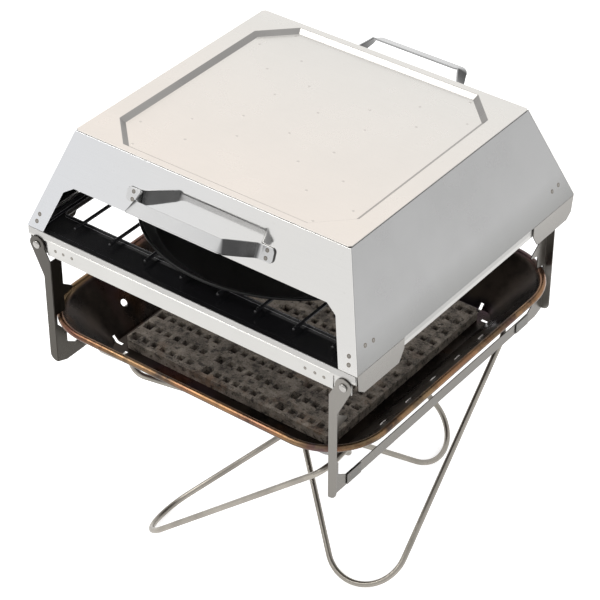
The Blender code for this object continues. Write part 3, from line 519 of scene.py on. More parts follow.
@dataclass(frozen=True)
class CastIron(Finish):
    """Rough cast slab with rust, ash and dark pores over its mottle."""

    name: str
    scale: float = 70.0
    tones: tuple[Colour, Colour] = ((0.05, 0.042, 0.036), (0.48, 0.415, 0.35))
    layers: tuple[tuple[Cloud, float, Colour], ...] = (
        (Cloud(17.0, 5.0, 0.56, 0.70, 0.7), 0.75, (0.24, 0.125, 0.065)),
        (Cloud(34.0, 6.0, 0.60, 0.76, 0.75), 0.55, (0.50, 0.47, 0.43)),
        (Cloud(150.0, 4.0, 0.55, 0.64, 0.6), 0.8, (0.030, 0.026, 0.023)))
    grain_scale: float = 240.0
    rough: Point = (0.62, 0.92)
    metallic: float = 0.15
    grain_share: float = 0.5
    bump_strength: float = 0.7
    bump_depth: float = 0.0009

    def fill(self, bench: Bench) -> None:
        """Lay rust, ash and pores over the mottle and roughen the surface.

        Args:
            bench: the material's nodes.
        """
        cast = bench.use(bench.effects.mottle, Scale=self.scale, Low=opaque(self.tones[0]),
                         High=opaque(self.tones[1]))
        colour = cast.outputs["Color"]
        for cloud, share, shade in self.layers:
            colour = bench.mix(bench.times(cloud.mask(bench), share), colour, shade)
        grain = bench.noise(self.grain_scale, 3.0, bench.place())
        bench.surface(colour, bench.spread(grain, 0.3, 0.7, *self.rough), self.metallic)
        fine = bench.times(grain, self.grain_share)
        pits = bench.math("ADD", fine, cast.outputs["Height"])
        bench.bump(pits, self.bump_strength, self.bump_depth)


@dataclass(frozen=True)
class Enamel(Finish):
    """Black enamel with a coat, faint orange peel and specks of ash."""

    name: str
    colour: Colour
    roughness: float
    peel: float
    coat: float = 0.25
    specular: float = 0.5
    haze_scale: float = 9.0
    haze_share: float = 0.5
    haze_tone: float = 2.4
    haze_rough: float = 0.10
    ash_share: float = 0.10
    ash: Colour = (0.12, 0.11, 0.10)
    coat_rough: float = 0.12
    peel_scale: float = 420.0
    peel_depth: float = 0.0002

    def fill(self, bench: Bench) -> None:
        """Add peel, dust and a clear coat.

        Args:
            bench: the material's nodes.
        """
        haze = bench.use(bench.effects.smudge, Scale=self.haze_scale)
        worn = bench.mix(bench.times(haze.outputs["Mask"], self.haze_share), self.colour,
                         dimmed(self.colour, self.haze_tone))
        dusty = bench.mix(bench.times(haze.outputs["Specks"], self.ash_share), worn, self.ash)
        rough = bench.spread(haze.outputs["Mask"], 0.0, 1.0, self.roughness,
                             self.roughness + self.haze_rough)
        bench.surface(dusty, rough, 0.0)
        plain = (("Coat Weight", self.coat), ("Specular IOR Level", self.specular),
                 ("Coat Roughness", self.coat_rough))
        for label, value in plain:
            bench.shader.inputs[label].default_value = value
        bench.bump(bench.noise(self.peel_scale, 2.0, bench.place()), self.peel, self.peel_depth)


@dataclass(frozen=True)
class NickelWire(Finish):
    """Bright drawn wire with a warm cast, dulled in places."""

    name: str
    colour: Colour
    haze_scale: float = 24.0
    haze_share: float = 0.6
    haze_tone: float = 0.62
    speck_share: float = 0.25
    speck: Colour = (0.16, 0.13, 0.10)
    rough: Point = (0.27, 0.38)
    grain_scale: float = 700.0
    bump_strength: float = 0.04
    bump_depth: float = 0.00005

    def fill(self, bench: Bench) -> None:
        """Add slow tone changes and dull stretches.

        Args:
            bench: the material's nodes.
        """
        haze = bench.use(bench.effects.smudge, Scale=self.haze_scale)
        base = bench.mix(bench.times(haze.outputs["Mask"], self.haze_share), self.colour,
                         dimmed(self.colour, self.haze_tone))
        specked = bench.mix(bench.times(haze.outputs["Specks"], self.speck_share), base, self.speck)
        bench.surface(specked, bench.spread(haze.outputs["Mask"], 0.0, 1.0, *self.rough), 1.0)
        grain = bench.noise(self.grain_scale, 2.0, bench.place())
        bench.bump(grain, self.bump_strength, self.bump_depth)


@dataclass(frozen=True)
class WeldSpot(Finish):
    """Small pressed weld spot, straw-coloured by its heat."""

    name: str
    colour: Colour
    scale: float = 120.0
    low_tone: float = 0.72
    rough: Point = (0.28, 0.45)
    bump_strength: float = 0.3
    bump_depth: float = 0.0002

    def fill(self, bench: Bench) -> None:
        """Vary the tint from spot to spot and roughen it.

        Args:
            bench: the material's nodes.
        """
        tone = bench.use(bench.effects.mottle, Scale=self.scale,
                         Low=opaque(dimmed(self.colour, self.low_tone)), High=opaque(self.colour))
        rough = bench.spread(tone.outputs["Height"], 0.3, 0.7, *self.rough)
        bench.surface(tone.outputs["Color"], rough, 1.0)
        bench.bump(tone.outputs["Height"], self.bump_strength, self.bump_depth)


# Painted shade: the tilted walls of the hood top's sunk field are darker
RECESS_PAINTED_SHADE = FacingPaintedShade((0.0, 0.0, 1.0), 0.975, 0.90, (0.30, 0.29, 0.28))
# Painted shade on the handle straps: near black where a strap faces sideways and where the front strap
# faces the panel, which the polished panel mirrors as a dark band
SIDEWAYS_PAINTED_SHADE = FacingPaintedShade((1.0, 0.0, 0.0), 0.26, 0.70, (0.07, 0.07, 0.07), True)
FRONT_INNER_PAINTED_SHADE = FacingPaintedShade((0.0, 1.0, 0.0), 0.10, 0.50, (0.07, 0.07, 0.07))

# Sheets: tones at both ends, axis and places of the change, axis of the grain, roughness
# Painted light: the hood's sheets are lit and shaded copies of one polished steel, the top lightest
TOP_STEEL = SheetSteel("top_steel", (0.79, 0.77, 0.735), (0.87, 0.80, 0.735),
                       Axis.Y, 0.15, -0.13, Axis.X, 0.26, painted_shades=(RECESS_PAINTED_SHADE,))
FIELD_DIMPLE = SheetSteel("field_dimple", (0.66, 0.63, 0.60), (0.70, 0.65, 0.60),
                          Axis.Y, 0.15, -0.13, Axis.X, 0.3)
FRONT_STEEL = SheetSteel("front_steel", (0.72, 0.73, 0.75), (0.74, 0.73, 0.71),
                         Axis.X, -0.2, 0.1, Axis.X, 0.05, haze=0.05)
# Painted shade: sides and skirts are the darker copies, darker still towards the bottom
SIDE_STEEL_PAINTED_SHADE = SheetSteel("side_steel", (0.29, 0.29, 0.285), (0.385, 0.385, 0.385),
                        Axis.Z, 0.392, 0.425, Axis.Y, 0.24)
SKIRT_STEEL_PAINTED_SHADE = SheetSteel("skirt_steel", (0.27, 0.26, 0.245), (0.24, 0.23, 0.215),
                         Axis.Z, 0.392, 0.365, Axis.Y, 0.26)
FRONT_STRAP = SheetSteel("front_strap_steel", (0.62, 0.62, 0.62), (0.56, 0.56, 0.56),
                         Axis.X, -0.05, 0.05, Axis.X, 0.20,
                         painted_shades=(FRONT_INNER_PAINTED_SHADE, SIDEWAYS_PAINTED_SHADE))
# Painted shade: the back strap is a darker copy of the front strap's steel
BACK_STRAP_PAINTED_SHADE = SheetSteel("back_strap_steel", (0.50, 0.50, 0.50), (0.50, 0.50, 0.50),
                        Axis.X, -0.05, 0.05, Axis.X, 0.20, painted_shades=(SIDEWAYS_PAINTED_SHADE,))
# Painted shade: the rails are darker above the fold line and lighter below it
RAIL_STEEL = SheetSteel("rail_steel", (0.40, 0.395, 0.385), (0.50, 0.495, 0.48),
                        Axis.Z, 0.3846, 0.3836, Axis.X, 0.28)
# Painted highlight: light steel on the rails' softened edges and on the fold ridge
RAIL_EDGE_HIGHLIGHT = SheetSteel("rail_edge_painted_highlight", (0.74, 0.73, 0.71), (0.70, 0.69, 0.67),
                       Axis.Z, 0.39, 0.37, Axis.X, 0.22)
# Painted shade: the left legs are a darker copy of the right legs' steel; both are darker towards the
# bottom
RIGHT_LEG = SheetSteel("right_leg_steel", (0.225, 0.215, 0.20), (0.19, 0.18, 0.165),
                       Axis.Z, 0.38, 0.22, Axis.Z, 0.27)
LEFT_LEG_PAINTED_SHADE = SheetSteel("left_leg_steel", (0.09, 0.085, 0.077), (0.075, 0.069, 0.06),
                      Axis.Z, 0.38, 0.22, Axis.Z, 0.27)
LAP_STEEL = SheetSteel("lap_steel", (0.17, 0.165, 0.155), (0.15, 0.145, 0.135),
                       Axis.Z, 0.24, 0.22, Axis.Y, 0.3)
BRACE_STEEL = SheetSteel("brace_steel", (0.45, 0.43, 0.40), (0.40, 0.38, 0.35),
                         Axis.X, -0.1, 0.1, Axis.X, 0.3)
PIN_STEEL = SheetSteel("pin_steel", (0.40, 0.39, 0.375), (0.36, 0.35, 0.335),
                       Axis.Z, 0.36, 0.38, Axis.Y, 0.18)
# Painted highlight: near-white steel on the raised lips of the tray's slits
SLIT_LIP_HIGHLIGHT = SheetSteel("slit_lip_painted_highlight", (0.90, 0.88, 0.85), (0.86, 0.84, 0.80),
                        Axis.Y, -0.1, 0.1, Axis.Y, 0.25)
TRAY_STEEL = FiredSteel("fired_tray_steel", 0.2785, 0.2815)
SLAB_IRON = CastIron("slab_iron")
GRATE_ENAMEL = Enamel("grate_enamel", (0.008, 0.008, 0.009), 0.20, 0.08, 0.4)
# Painted highlight: grey enamel on the grate border's softened edges
GRATE_EDGE_HIGHLIGHT = Enamel("grate_edge_painted_highlight", (0.24, 0.24, 0.25), 0.20, 0.05)
PAN_ENAMEL = Enamel("pan_black_enamel", (0.002, 0.002, 0.002), 0.30, 0.06, 0.0, 0.22)
WIRE_NICKEL = NickelWire("wire_nickel", (0.32, 0.297, 0.262))
WELD_CORE = WeldSpot("weld_core", (0.30, 0.285, 0.265))
WELD_HALO = WeldSpot("weld_halo", (0.17, 0.15, 0.12))


def arc(centre: Point, radius: float, start: float, end: float, steps: int) -> list[Point]:
    """Return points on an arc, its angles in degrees."""
    turns = [math.radians(start + (end - start) * i / steps) for i in range(steps + 1)]
    return [(centre[0] + radius * math.cos(t), centre[1] + radius * math.sin(t)) for t in turns]


def circle(radius: float, sides: int) -> list[Point]:
    """Return the corners of a regular polygon about the origin."""
    return arc((0.0, 0.0), radius, 0.0, 360.0 - 360.0 / sides, sides - 1)


def round_corner(before: Vector, corner: Vector, after: Vector, radius: float,
                 steps: int) -> list[Vector]:
    """Replace a corner of a path by an arc.

    Args:
        before: the point before the corner.
        corner: the corner.
        after: the point after the corner.
        radius: the arc's radius.
        steps: how many stretches the arc has.

    Returns:
        The arc's points.
    """
    to_before = (before - corner).normalized()
    to_after = (after - corner).normalized()
    half = to_before.angle(to_after) / 2
    centre = corner + (to_before + to_after).normalized() * (radius / math.sin(half))
    start = corner + to_before * (radius / math.tan(half)) - centre
    across = corner + to_after * (radius / math.tan(half)) - centre
    span = math.pi - 2 * half
    side = (across - start * math.cos(span)) / math.sin(span)
    return [centre + start * math.cos(span * i / steps) + side * math.sin(span * i / steps)
            for i in range(steps + 1)]


def loft(bm: bmesh.types.BMesh, rings: Sequence[Sequence[Vector]],
         cyclic: bool = False) -> bmesh.types.BMesh:
    """Join rings of equal length into a skin.

    Args:
        bm: the mesh that gets the skin.
        rings: the rings in their order.
        cyclic: whether the last ring joins the first; otherwise both ends are capped.

    Returns:
        The same mesh.
    """
    loops = [[bm.verts.new(point) for point in ring] for ring in rings]
    count = len(loops[0])
    pairs = list(zip(loops, loops[1:]))
    if cyclic:
        pairs.append((loops[-1], loops[0]))
    for low, high in pairs:
        for i in range(count):
            j = (i + 1) % count
            bm.faces.new((low[i], low[j], high[j], high[i]))
    if not cyclic:
        bm.faces.new(list(reversed(loops[0])))
        bm.faces.new(loops[-1])
    return bm


def dome(ring: Sequence[Vector], point: Vector, out: Vector, radius: float) -> list[list[Vector]]:
    """Return the rings that close a wire's end.

    Args:
        ring: the wire's last ring.
        point: the end of its centre line.
        out: the way out of the end.
        radius: the wire's radius.

    Returns:
        The rings from the wire's last ring outward.
    """
    rings = []
    for share, rise in DOME_RINGS:
        tip = point + out.normalized() * radius * rise * DOME_LENGTH
        rings.append([tip + (corner - point) * share for corner in ring])
    return rings


def tube(bm: bmesh.types.BMesh, path: Sequence[Vector], radius: float, sides: int,
         closed: bool) -> None:
    """Sweep a round section along a path with a steady frame.

    Args:
        bm: the mesh that gets the tube.
        path: its centre line.
        radius: the tube's radius.
        sides: how many sides the section has.
        closed: whether the path's ends meet; otherwise the ends are domed.
    """
    count = len(path)
    rings = []
    normal = None
    for i, point in enumerate(path):
        after = path[(i + 1) % count] if closed else path[min(i + 1, count - 1)]
        before = path[i - 1] if closed or i else path[0]
        along = (after - before).normalized()
        if normal is None:
            upright = abs(along.z) >= 0.8
            normal = along.cross(Vector((1.0, 0.0, 0.0)) if upright else Vector((0.0, 0.0, 1.0)))
        normal = (normal - along * normal.dot(along)).normalized()
        across = along.cross(normal)
        rings.append([point + (normal * math.cos(t) + across * math.sin(t)) * radius
                      for t in (2 * math.pi * k / sides for k in range(sides))])
    if not closed:
        first = dome(rings[0], path[0], path[0] - path[1], radius)
        last = dome(rings[-1], path[-1], path[-1] - path[-2], radius)
        rings = first[::-1] + rings + last
    loft(bm, rings, closed)


def lathe(bm: bmesh.types.BMesh, profile: Sequence[Point], place: Placing, sides: int) -> None:
    """Turn a profile about an axis.

    Args:
        bm: the mesh that gets the turned skin.
        profile: pairs of radius and distance along the axis.
        place: gives the point for two places across the axis and one along it.
        sides: how many sides it has.
    """
    loft(bm, [[place(a, b, distance) for a, b in circle(radius, sides)]
              for radius, distance in profile])


def add_object(name: str, bm: bmesh.types.BMesh) -> bpy.types.Object:
    """Link a mesh to the scene as an object.

    Args:
        name: the object's and the mesh's name.
        bm: the mesh, which is used up.

    Returns:
        The new object.
    """
    mesh = bpy.data.meshes.new(name)
    bm.to_mesh(mesh)
    bm.free()
    obj = bpy.data.objects.new(name, mesh)
    bpy.context.scene.collection.objects.link(obj)
    return obj


class Workshop:
    """Makes the pieces, gives them their finish and puts them on their bodies."""

    merge_gap = 1e-6
    flat_angle = math.radians(0.6)
    sharp_angle = math.radians(24.0)

    def __init__(self, effects: Effects) -> None:
        """Keep the shared effects and start counting the pieces."""
        self.effects = effects
        self.count = 0

    def piece(self, name: str, bm: bmesh.types.BMesh, finishes: Sequence[Finish], body: str, slot: str,
              replaced: Sequence[str] = (), smooth: float = 35.0) -> bpy.types.Object:
        """Turn a mesh into a dressed piece on a body.

        Args:
            name: the piece's name.
            bm: its mesh, which is used up.
            finishes: its materials in the order of their slots.
            body: the body that it rides on.
            slot: the record's material slot; not used.
            replaced: the nodes that it stands for.
            smooth: the angle in degrees below which edges are shaded smooth.

        Returns:
            The new object.
        """
        bmesh.ops.recalc_face_normals(bm, faces=bm.faces)
        obj = add_object(name, bm)
        mesh = obj.data
        mesh.shade_smooth()
        mesh.set_sharp_from_angle(angle=math.radians(smooth))
        for one in finishes:
            mesh.materials.append(one.material(self.effects))
        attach(obj, body)
        if replaced:
            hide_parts(*replaced)
        self.count += 1
        LOG.info("%s on %s", name, body)
        return obj

    def rounded(self, node: str, body: str, slot: str, finish: Finish, width: float,
                segments: int = 2, edge: Finish | None = None) -> bpy.types.Object:
        """Stand a copy with softened edges in for a node.

        Args:
            node: the node whose shape is kept.
            body: the body that it rides on.
            slot: the record's material slot; passed to piece, which does not use it.
            finish: its finish.
            width: how far the edges are softened.
            segments: facets across a softened edge.
            edge: the finish of the softened edges, where it differs.

        Returns:
            The new object.
        """
        bm = bmesh.new()
        bm.from_mesh(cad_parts[node].data)
        bmesh.ops.remove_doubles(bm, verts=bm.verts, dist=self.merge_gap)
        bmesh.ops.dissolve_limit(bm, angle_limit=self.flat_angle, verts=bm.verts, edges=bm.edges)
        sharp = [e for e in bm.edges if e.is_manifold and e.calc_face_angle() > self.sharp_angle]
        bmesh.ops.bevel(bm, geom=sharp, offset=width, segments=segments, profile=0.5,
                        affect="EDGES", clamp_overlap=True, material=1 if edge else -1)
        finishes = [finish, edge] if edge else [finish]
        obj = self.piece(node + "_sheet", bm, finishes, body, slot, [node], 40.0)
        weighted = obj.modifiers.new("weighted", "WEIGHTED_NORMAL")
        weighted.keep_sharp = True
        return obj

    def welds(self, name: str, spots: Sequence[tuple[Vector, Vector]], body: str,
              radius: float = 0.0024, finishes: Sequence[Finish] = (WELD_CORE, WELD_HALO)) -> None:
        """Add a group of shallow weld spots.

        Args:
            name: the group's name.
            spots: the centre and outward direction of each spot.
            body: the body that they ride on.
            radius: the spots' outer radius.
            finishes: the finish of the middle and of the ring.
        """
        bm = bmesh.new()
        for centre, out in spots:
            out = out.normalized()
            first = out.orthogonal().normalized()
            second = out.cross(first)
            loops = []
            for share, rise in SPOT_RINGS:
                loops.append([bm.verts.new(centre + out * rise + (first * a + second * b) * radius * share)
                              for a, b in circle(1.0, SPOT_SIDES)])
            for index, (low, high) in enumerate(zip(loops, loops[1:])):
                for i in range(SPOT_SIDES):
                    j = (i + 1) % SPOT_SIDES
                    face = bm.faces.new((low[i], low[j], high[j], high[i]))
                    face.material_index = 1 if index < SPOT_HALO_RINGS else 0
            bm.faces.new(loops[-1])
        self.piece(name, bm, finishes, body, "satin_steel")


@dataclass
class Hood:
    """Lift-off hood: panels, skirts, brace, handles and their welds."""

    shop: Workshop
    base_half_x: float = 0.215
    base_half_y: float = 0.1995
    top_half_x: float = 0.175
    top_half_y: float = 0.1575
    height: float = 0.113
    grip_half: float = 0.057
    foot_inner: float = 0.0755
    foot_outer: float = 0.094
    reach: float = 0.0425
    lift: float = 0.0037
    twist: float = math.radians(49.0)
    strap_width: float = 0.0162
    strap_thickness: float = 0.002
    strap_bend: float = 0.007
    foot_round: float = 0.004
    handle_z: float = 0.075
    top_soft: float = 0.0007
    panel_soft: float = 0.0003
    brace_soft: float = 0.0004
    strap_spot_r: float = 0.0023
    dimple_r: float = 0.0016
    strap_soft: float = 0.25
    strap_spot_rise: float = 0.0042
    strap_spot_shift: float = 0.001
    corner_spots: tuple[Point, ...] = ((0.201, 0.016), (0.203, 0.008))
    side_spots: tuple[Point, ...] = ((0.1757, 0.0213), (0.1627, 0.0199))
    skirt_spots: tuple[Point, ...] = ((0.1675, -0.0073), (0.1575, -0.0062))
    skirt_inset: float = 0.0002
    field_drop: float = 0.005
    dimple_lift: float = 0.00001
    brace_spot_y: float = 0.0248
    field_spots: tuple[Point, ...] = ((0.1365, 0.1003), (0.0976, 0.0639), (0.0587, 0.0267),
                                      (0.1154, 0.1380), (0.0779, 0.0989), (0.0396, 0.0619))

    def half(self, z: float) -> Point:
        """Measure the hood at a height.

        Args:
            z: the height above its base.

        Returns:
            Its half width and half depth there.
        """
        share = z / self.height
        return (self.base_half_x + (self.top_half_x - self.base_half_x) * share,
                self.base_half_y + (self.top_half_y - self.base_half_y) * share)

    def face_point(self, x: float, z: float, end: End) -> tuple[Vector, Vector]:
        """Find a place on the front or back panel.

        Args:
            x: how far right of the middle it is.
            z: its height above the hood's base.
            end: which panel it is on.

        Returns:
            The place and the way out of the panel.
        """
        slope = (self.base_half_y - self.top_half_y) / self.height
        place = Vector((x, end.value * self.half(z)[1], HOOD_BASE_Z + z))
        return place, Vector((0.0, end.value, slope)).normalized()

    def side_point(self, y: float, z: float, side: Side) -> tuple[Vector, Vector]:
        """Find a place on a side panel.

        Args:
            y: how far behind the middle it is.
            z: its height above the hood's base.
            side: which panel it is on.

        Returns:
            The place and the way out of the panel.
        """
        slope = (self.base_half_x - self.top_half_x) / self.height
        place = Vector((side.value * self.half(z)[0], y, HOOD_BASE_Z + z))
        return place, Vector((side.value, 0.0, slope)).normalized()

    def handle_stations(self) -> list[tuple[Vector, float, float]]:
        """List the stations along half a handle, from foot to grip.

        Returns:
            The centre, share of twist and half width at each.
        """
        low = self.strap_thickness / 2
        foot = Vector((self.foot_outer, low, 0.0))
        heel = Vector((self.foot_inner, low, 0.0))
        wrist = Vector((self.grip_half, self.reach, self.lift))
        middle = Vector((0.0, self.reach, self.lift))
        half = self.strap_width / 2
        stations = [(foot + Vector((across - self.foot_round, 0.0, 0.0)), 0.0,
                     half - self.foot_round + along)
                    for across, along in arc((0.0, 0.0), self.foot_round, 0.0, 90.0, 5)]
        first = round_corner(foot, heel, wrist, self.strap_bend, 8)
        last = round_corner(heel, wrist, middle, self.strap_bend, 8)
        stations += [(point, 0.0, half) for point in first]
        steps = 6
        for index in range(1, steps):
            share = index / steps
            stations.append((first[-1].lerp(last[0], share), ease(share), half))
        stations += [(point, 1.0, half) for point in last]
        return stations

    def make_handle(self, end: End) -> None:
        """Make one bent strap handle with softened edges.

        Args:
            end: the panel that it stands on.
        """
        rise = Vector((self.base_half_y - self.top_half_y, self.height)).normalized()
        up = Vector((0.0, -end.value * rise.x, rise.y))
        out = Vector((0.0, end.value * rise.y, rise.x))
        base = self.face_point(0.0, self.handle_z, end)[0] + out * GAP
        right = self.handle_stations()
        left = [(Vector((-c.x, c.y, c.z)), share, half) for c, share, half in reversed(right)]
        stations = right + left
        centres = [base + Vector((c.x, 0.0, 0.0)) + out * c.y + up * c.z for c, _, _ in stations]
        soft = self.strap_thickness * self.strap_soft
        rings = []
        for i, (_, share, half) in enumerate(stations):
            along = (centres[min(i + 1, len(centres) - 1)] - centres[max(i - 1, 0)]).normalized()
            turn = self.twist * share
            across = up * math.cos(turn) - out * math.sin(turn)
            across = (across - along * across.dot(along)).normalized()
            normal = along.cross(across)
            thick = self.strap_thickness / 2
            ring = []
            for a, b in ((1, 1), (-1, 1), (-1, -1), (1, -1)):
                pair = [(a * half, b * (thick - soft)), (a * (half - soft), b * thick)]
                pair = pair if a * b > 0 else pair[::-1]
                ring += [centres[i] + across * w + normal * t for w, t in pair]
            rings.append(ring)
        strap = FRONT_STRAP if end is End.FRONT else BACK_STRAP_PAINTED_SHADE
        self.shop.piece(f"{end.word}_handle_strap", loft(bmesh.new(), rings), [strap], "hood",
                        "satin_steel", [f"{end.word}_handle"], 30.0)
        spots = []
        middle = (self.foot_inner + self.foot_outer) / 2 + self.strap_spot_shift
        surface = out * (self.strap_thickness + SPOT_LIFT)
        for side in Side:
            for rise_by in (-self.strap_spot_rise, self.strap_spot_rise):
                place = base + Vector((side.value * middle, 0.0, 0.0)) + surface
                spots.append((place + up * rise_by, out))
        self.shop.welds(f"{end.word}_handle_welds", spots, "hood", self.strap_spot_r)

    def panel_welds(self) -> None:
        """Weld the corner flanges and the skirts."""
        for end in End:
            spots = [self.face_point(side.value * x, z, end) for side in Side
                     for x, z in self.corner_spots]
            self.shop.welds(f"{end.word}_panel_welds", spots, "hood")
        for side in Side:
            out = Vector((side.value, 0.0, 0.0))
            skirt_x = side.value * (self.base_half_x - self.skirt_inset)
            spots = []
            for end in End:
                spots += [self.side_point(end.value * y, z, side) for y, z in self.side_spots]
                spots += [(Vector((skirt_x, end.value * y, HOOD_BASE_Z + z)), out)
                          for y, z in self.skirt_spots]
            self.shop.welds(f"hood_{side.word}_welds", spots, "hood")

    def field_welds(self) -> None:
        """Show the faint dimples of the brace's welds in the sunk field."""
        top = HOOD_BASE_Z + self.height - self.field_drop + self.dimple_lift
        up = Vector((0.0, 0.0, 1.0))
        spots = [(Vector((0.0, sy * self.brace_spot_y, top)), up) for sy in (-1, 1)]
        for x, y in self.field_spots:
            spots += [(Vector((sx * x, sy * y, top)), up) for sx in (-1, 1) for sy in (-1, 1)]
        self.shop.welds("field_weld_dimples", spots, "hood", self.dimple_r,
                        (FIELD_DIMPLE, FIELD_DIMPLE))

    def dress(self) -> None:
        """Dress every piece of the hood."""
        shop = self.shop
        shop.rounded("hood_top_panel", "hood", "polished_steel", TOP_STEEL, self.top_soft, 3)
        for end in End:
            shop.rounded(f"hood_{end.word}_panel", "hood", "polished_steel", FRONT_STEEL,
                         self.panel_soft)
        for side in Side:
            shop.rounded(f"hood_{side.word}_panel", "hood", "polished_steel", SIDE_STEEL_PAINTED_SHADE,
                         self.panel_soft)
            for end in End:
                node = f"hood_{side.word}_{end.word}_skirt"
                shop.rounded(node, "hood", "polished_steel", SKIRT_STEEL_PAINTED_SHADE, self.panel_soft)
        shop.rounded("hood_brace", "hood", "satin_steel", BRACE_STEEL, self.brace_soft)
        for end in End:
            self.make_handle(end)
        self.panel_welds()
        self.field_welds()


@dataclass
class OvenFrame:
    """Folding frame: rails, pivots and the two leg frames."""

    shop: Workshop
    rail_half_y: float = 0.200
    pivot_x: float = 0.2006
    pivot_z: float = 0.374
    pin_r: float = 0.0030
    head_r: float = 0.0046
    head_height: float = 0.0022
    leg_face_y: float = 0.2019
    ear_back_y: float = 0.1977
    wall_x: float = 0.183
    joint_reach: float = 0.043
    rail_low_z: float = 0.220
    fold_half: float = 0.184
    fold_z: float = 0.3838
    fold_r: float = 0.0007
    fold_flat: float = 0.45
    fold_taper: float = 0.002
    fold_tip: float = 0.2
    fold_sink: float = 0.00005
    rail_soft: float = 0.00035
    leg_soft: float = 0.0003
    washer_soft: float = 0.0002
    lap_spot_r: float = 0.0013
    ear_spot_r: float = 0.0018
    pin_sides: int = 40
    sheet: float = 0.0012
    tail_profile: tuple[Point, ...] = ((0.2, 0.6), (0.8, 0.55), (1.0, 0.35))
    dome_foot: float = 0.3
    dome_rise: float = 0.7
    lap_spots: tuple[Point, ...] = ((-0.0075, 0.0045), (-0.0075, 0.0105),
                                    (0.0075, 0.0045), (0.0075, 0.0105))
    ear_spots: tuple[Point, ...] = ((0.153, -0.0172), (0.165, -0.0175), (0.176, -0.0178))

    def make_pin(self, side: Side, end: End) -> None:
        """Make one domed pivot rivet.

        Args:
            side: the side of the oven that it is on.
            end: the end of the oven that it is on.
        """
        tail = self.ear_back_y - GAP
        head = self.leg_face_y + GAP
        rise = self.head_height
        profile = [(self.head_r * share, tail - rise * drop) for share, drop in self.tail_profile]
        profile += [(self.head_r, tail), (self.pin_r, tail), (self.pin_r, head),
                    (self.head_r, head), (self.head_r, head + rise * self.dome_foot)]
        steps = 7
        for index in range(1, steps):
            turn = math.radians(90.0 * index / steps)
            height = self.dome_foot + self.dome_rise * math.sin(turn)
            profile.append((self.head_r * math.cos(turn), head + rise * height))

        def place(a: float, b: float, distance: float) -> Vector:
            """Return a point of the rivet."""
            return Vector((side.value * self.pivot_x + a, end.value * distance, self.pivot_z + b))

        bm = bmesh.new()
        lathe(bm, profile, place, self.pin_sides)
        node = f"{side.word}_{end.word}_pivot_pin"
        self.shop.piece(node + "_rivet", bm, [PIN_STEEL], "oven_frame", "polished_steel", [node], 30.0)

    def lap_welds(self, side: Side) -> None:
        """Add the four weld spots on each lap plate.

        Args:
            side: the side of the oven that gets them.
        """
        out = Vector((side.value, 0.0, 0.0))
        face = side.value * (self.wall_x + 2 * self.sheet + GAP + SPOT_LIFT)
        middle = self.leg_face_y - self.joint_reach
        spots = [(Vector((face, end.value * (middle + along), self.rail_low_z + rise)), out)
                 for end in End for along, rise in self.lap_spots]
        self.shop.welds(f"{side.word}_lap_welds", spots, f"{side.word}_side", self.lap_spot_r)

    def rail_welds(self) -> None:
        """Add the spots that hold the ears behind the front and back rails."""
        for end in End:
            out = Vector((0.0, end.value, 0.0))
            face = end.value * (self.rail_half_y + SPOT_LIFT)
            spots = [(Vector((side.value * x, face, HOOD_BASE_Z + z)), out)
                     for side in Side for x, z in self.ear_spots]
            self.shop.welds(f"{end.word}_rail_welds", spots, "oven_frame", self.ear_spot_r)

    def make_fold(self, end: End) -> None:
        """Make the pressed line that runs along an end rail's face, in the painted highlight steel.

        Args:
            end: the rail that gets it.
        """
        section = [(self.fold_r * a, self.fold_flat * self.fold_r * b)
                   for a, b in arc((0.0, 0.0), 1.0, 0.0, 180.0, 8)]
        inner = self.fold_half - self.fold_taper
        face = self.rail_half_y - self.fold_sink
        rings = []
        for x, share in ((-self.fold_half, self.fold_tip), (-inner, 1.0), (inner, 1.0),
                         (self.fold_half, self.fold_tip)):
            rings.append([Vector((x, end.value * (face + b * share), self.fold_z + a * share))
                          for a, b in section])
        self.shop.piece(f"{end.word}_rail_fold", loft(bmesh.new(), rings), [RAIL_EDGE_HIGHLIGHT],
                        "oven_frame", "satin_steel")

    def dress(self) -> None:
        """Dress the rails, pivots and leg frames."""
        shop = self.shop
        for word in ("front", "back", "left", "right"):
            shop.rounded(f"{word}_rail", "oven_frame", "satin_steel", RAIL_STEEL,
                         self.rail_soft, 2, RAIL_EDGE_HIGHLIGHT)
        for end in End:
            self.make_fold(end)
        for side in Side:
            word = side.word
            steel = LEFT_LEG_PAINTED_SHADE if side is Side.LEFT else RIGHT_LEG
            shop.rounded(f"{word}_bottom_rail", f"{word}_side", "leg_steel", RIGHT_LEG,
                         self.leg_soft)
            for end in End:
                stem = f"{word}_{end.word}"
                shop.rounded(f"{stem}_leg", f"{word}_side", "leg_steel", steel, self.leg_soft)
                shop.rounded(f"{stem}_lap_plate", f"{word}_side", "leg_steel", LAP_STEEL,
                             self.leg_soft)
                shop.rounded(f"{stem}_pivot_washer", "oven_frame", "satin_steel", RAIL_STEEL,
                             self.washer_soft)
                self.make_pin(side, end)
            self.lap_welds(side)
        self.rail_welds()


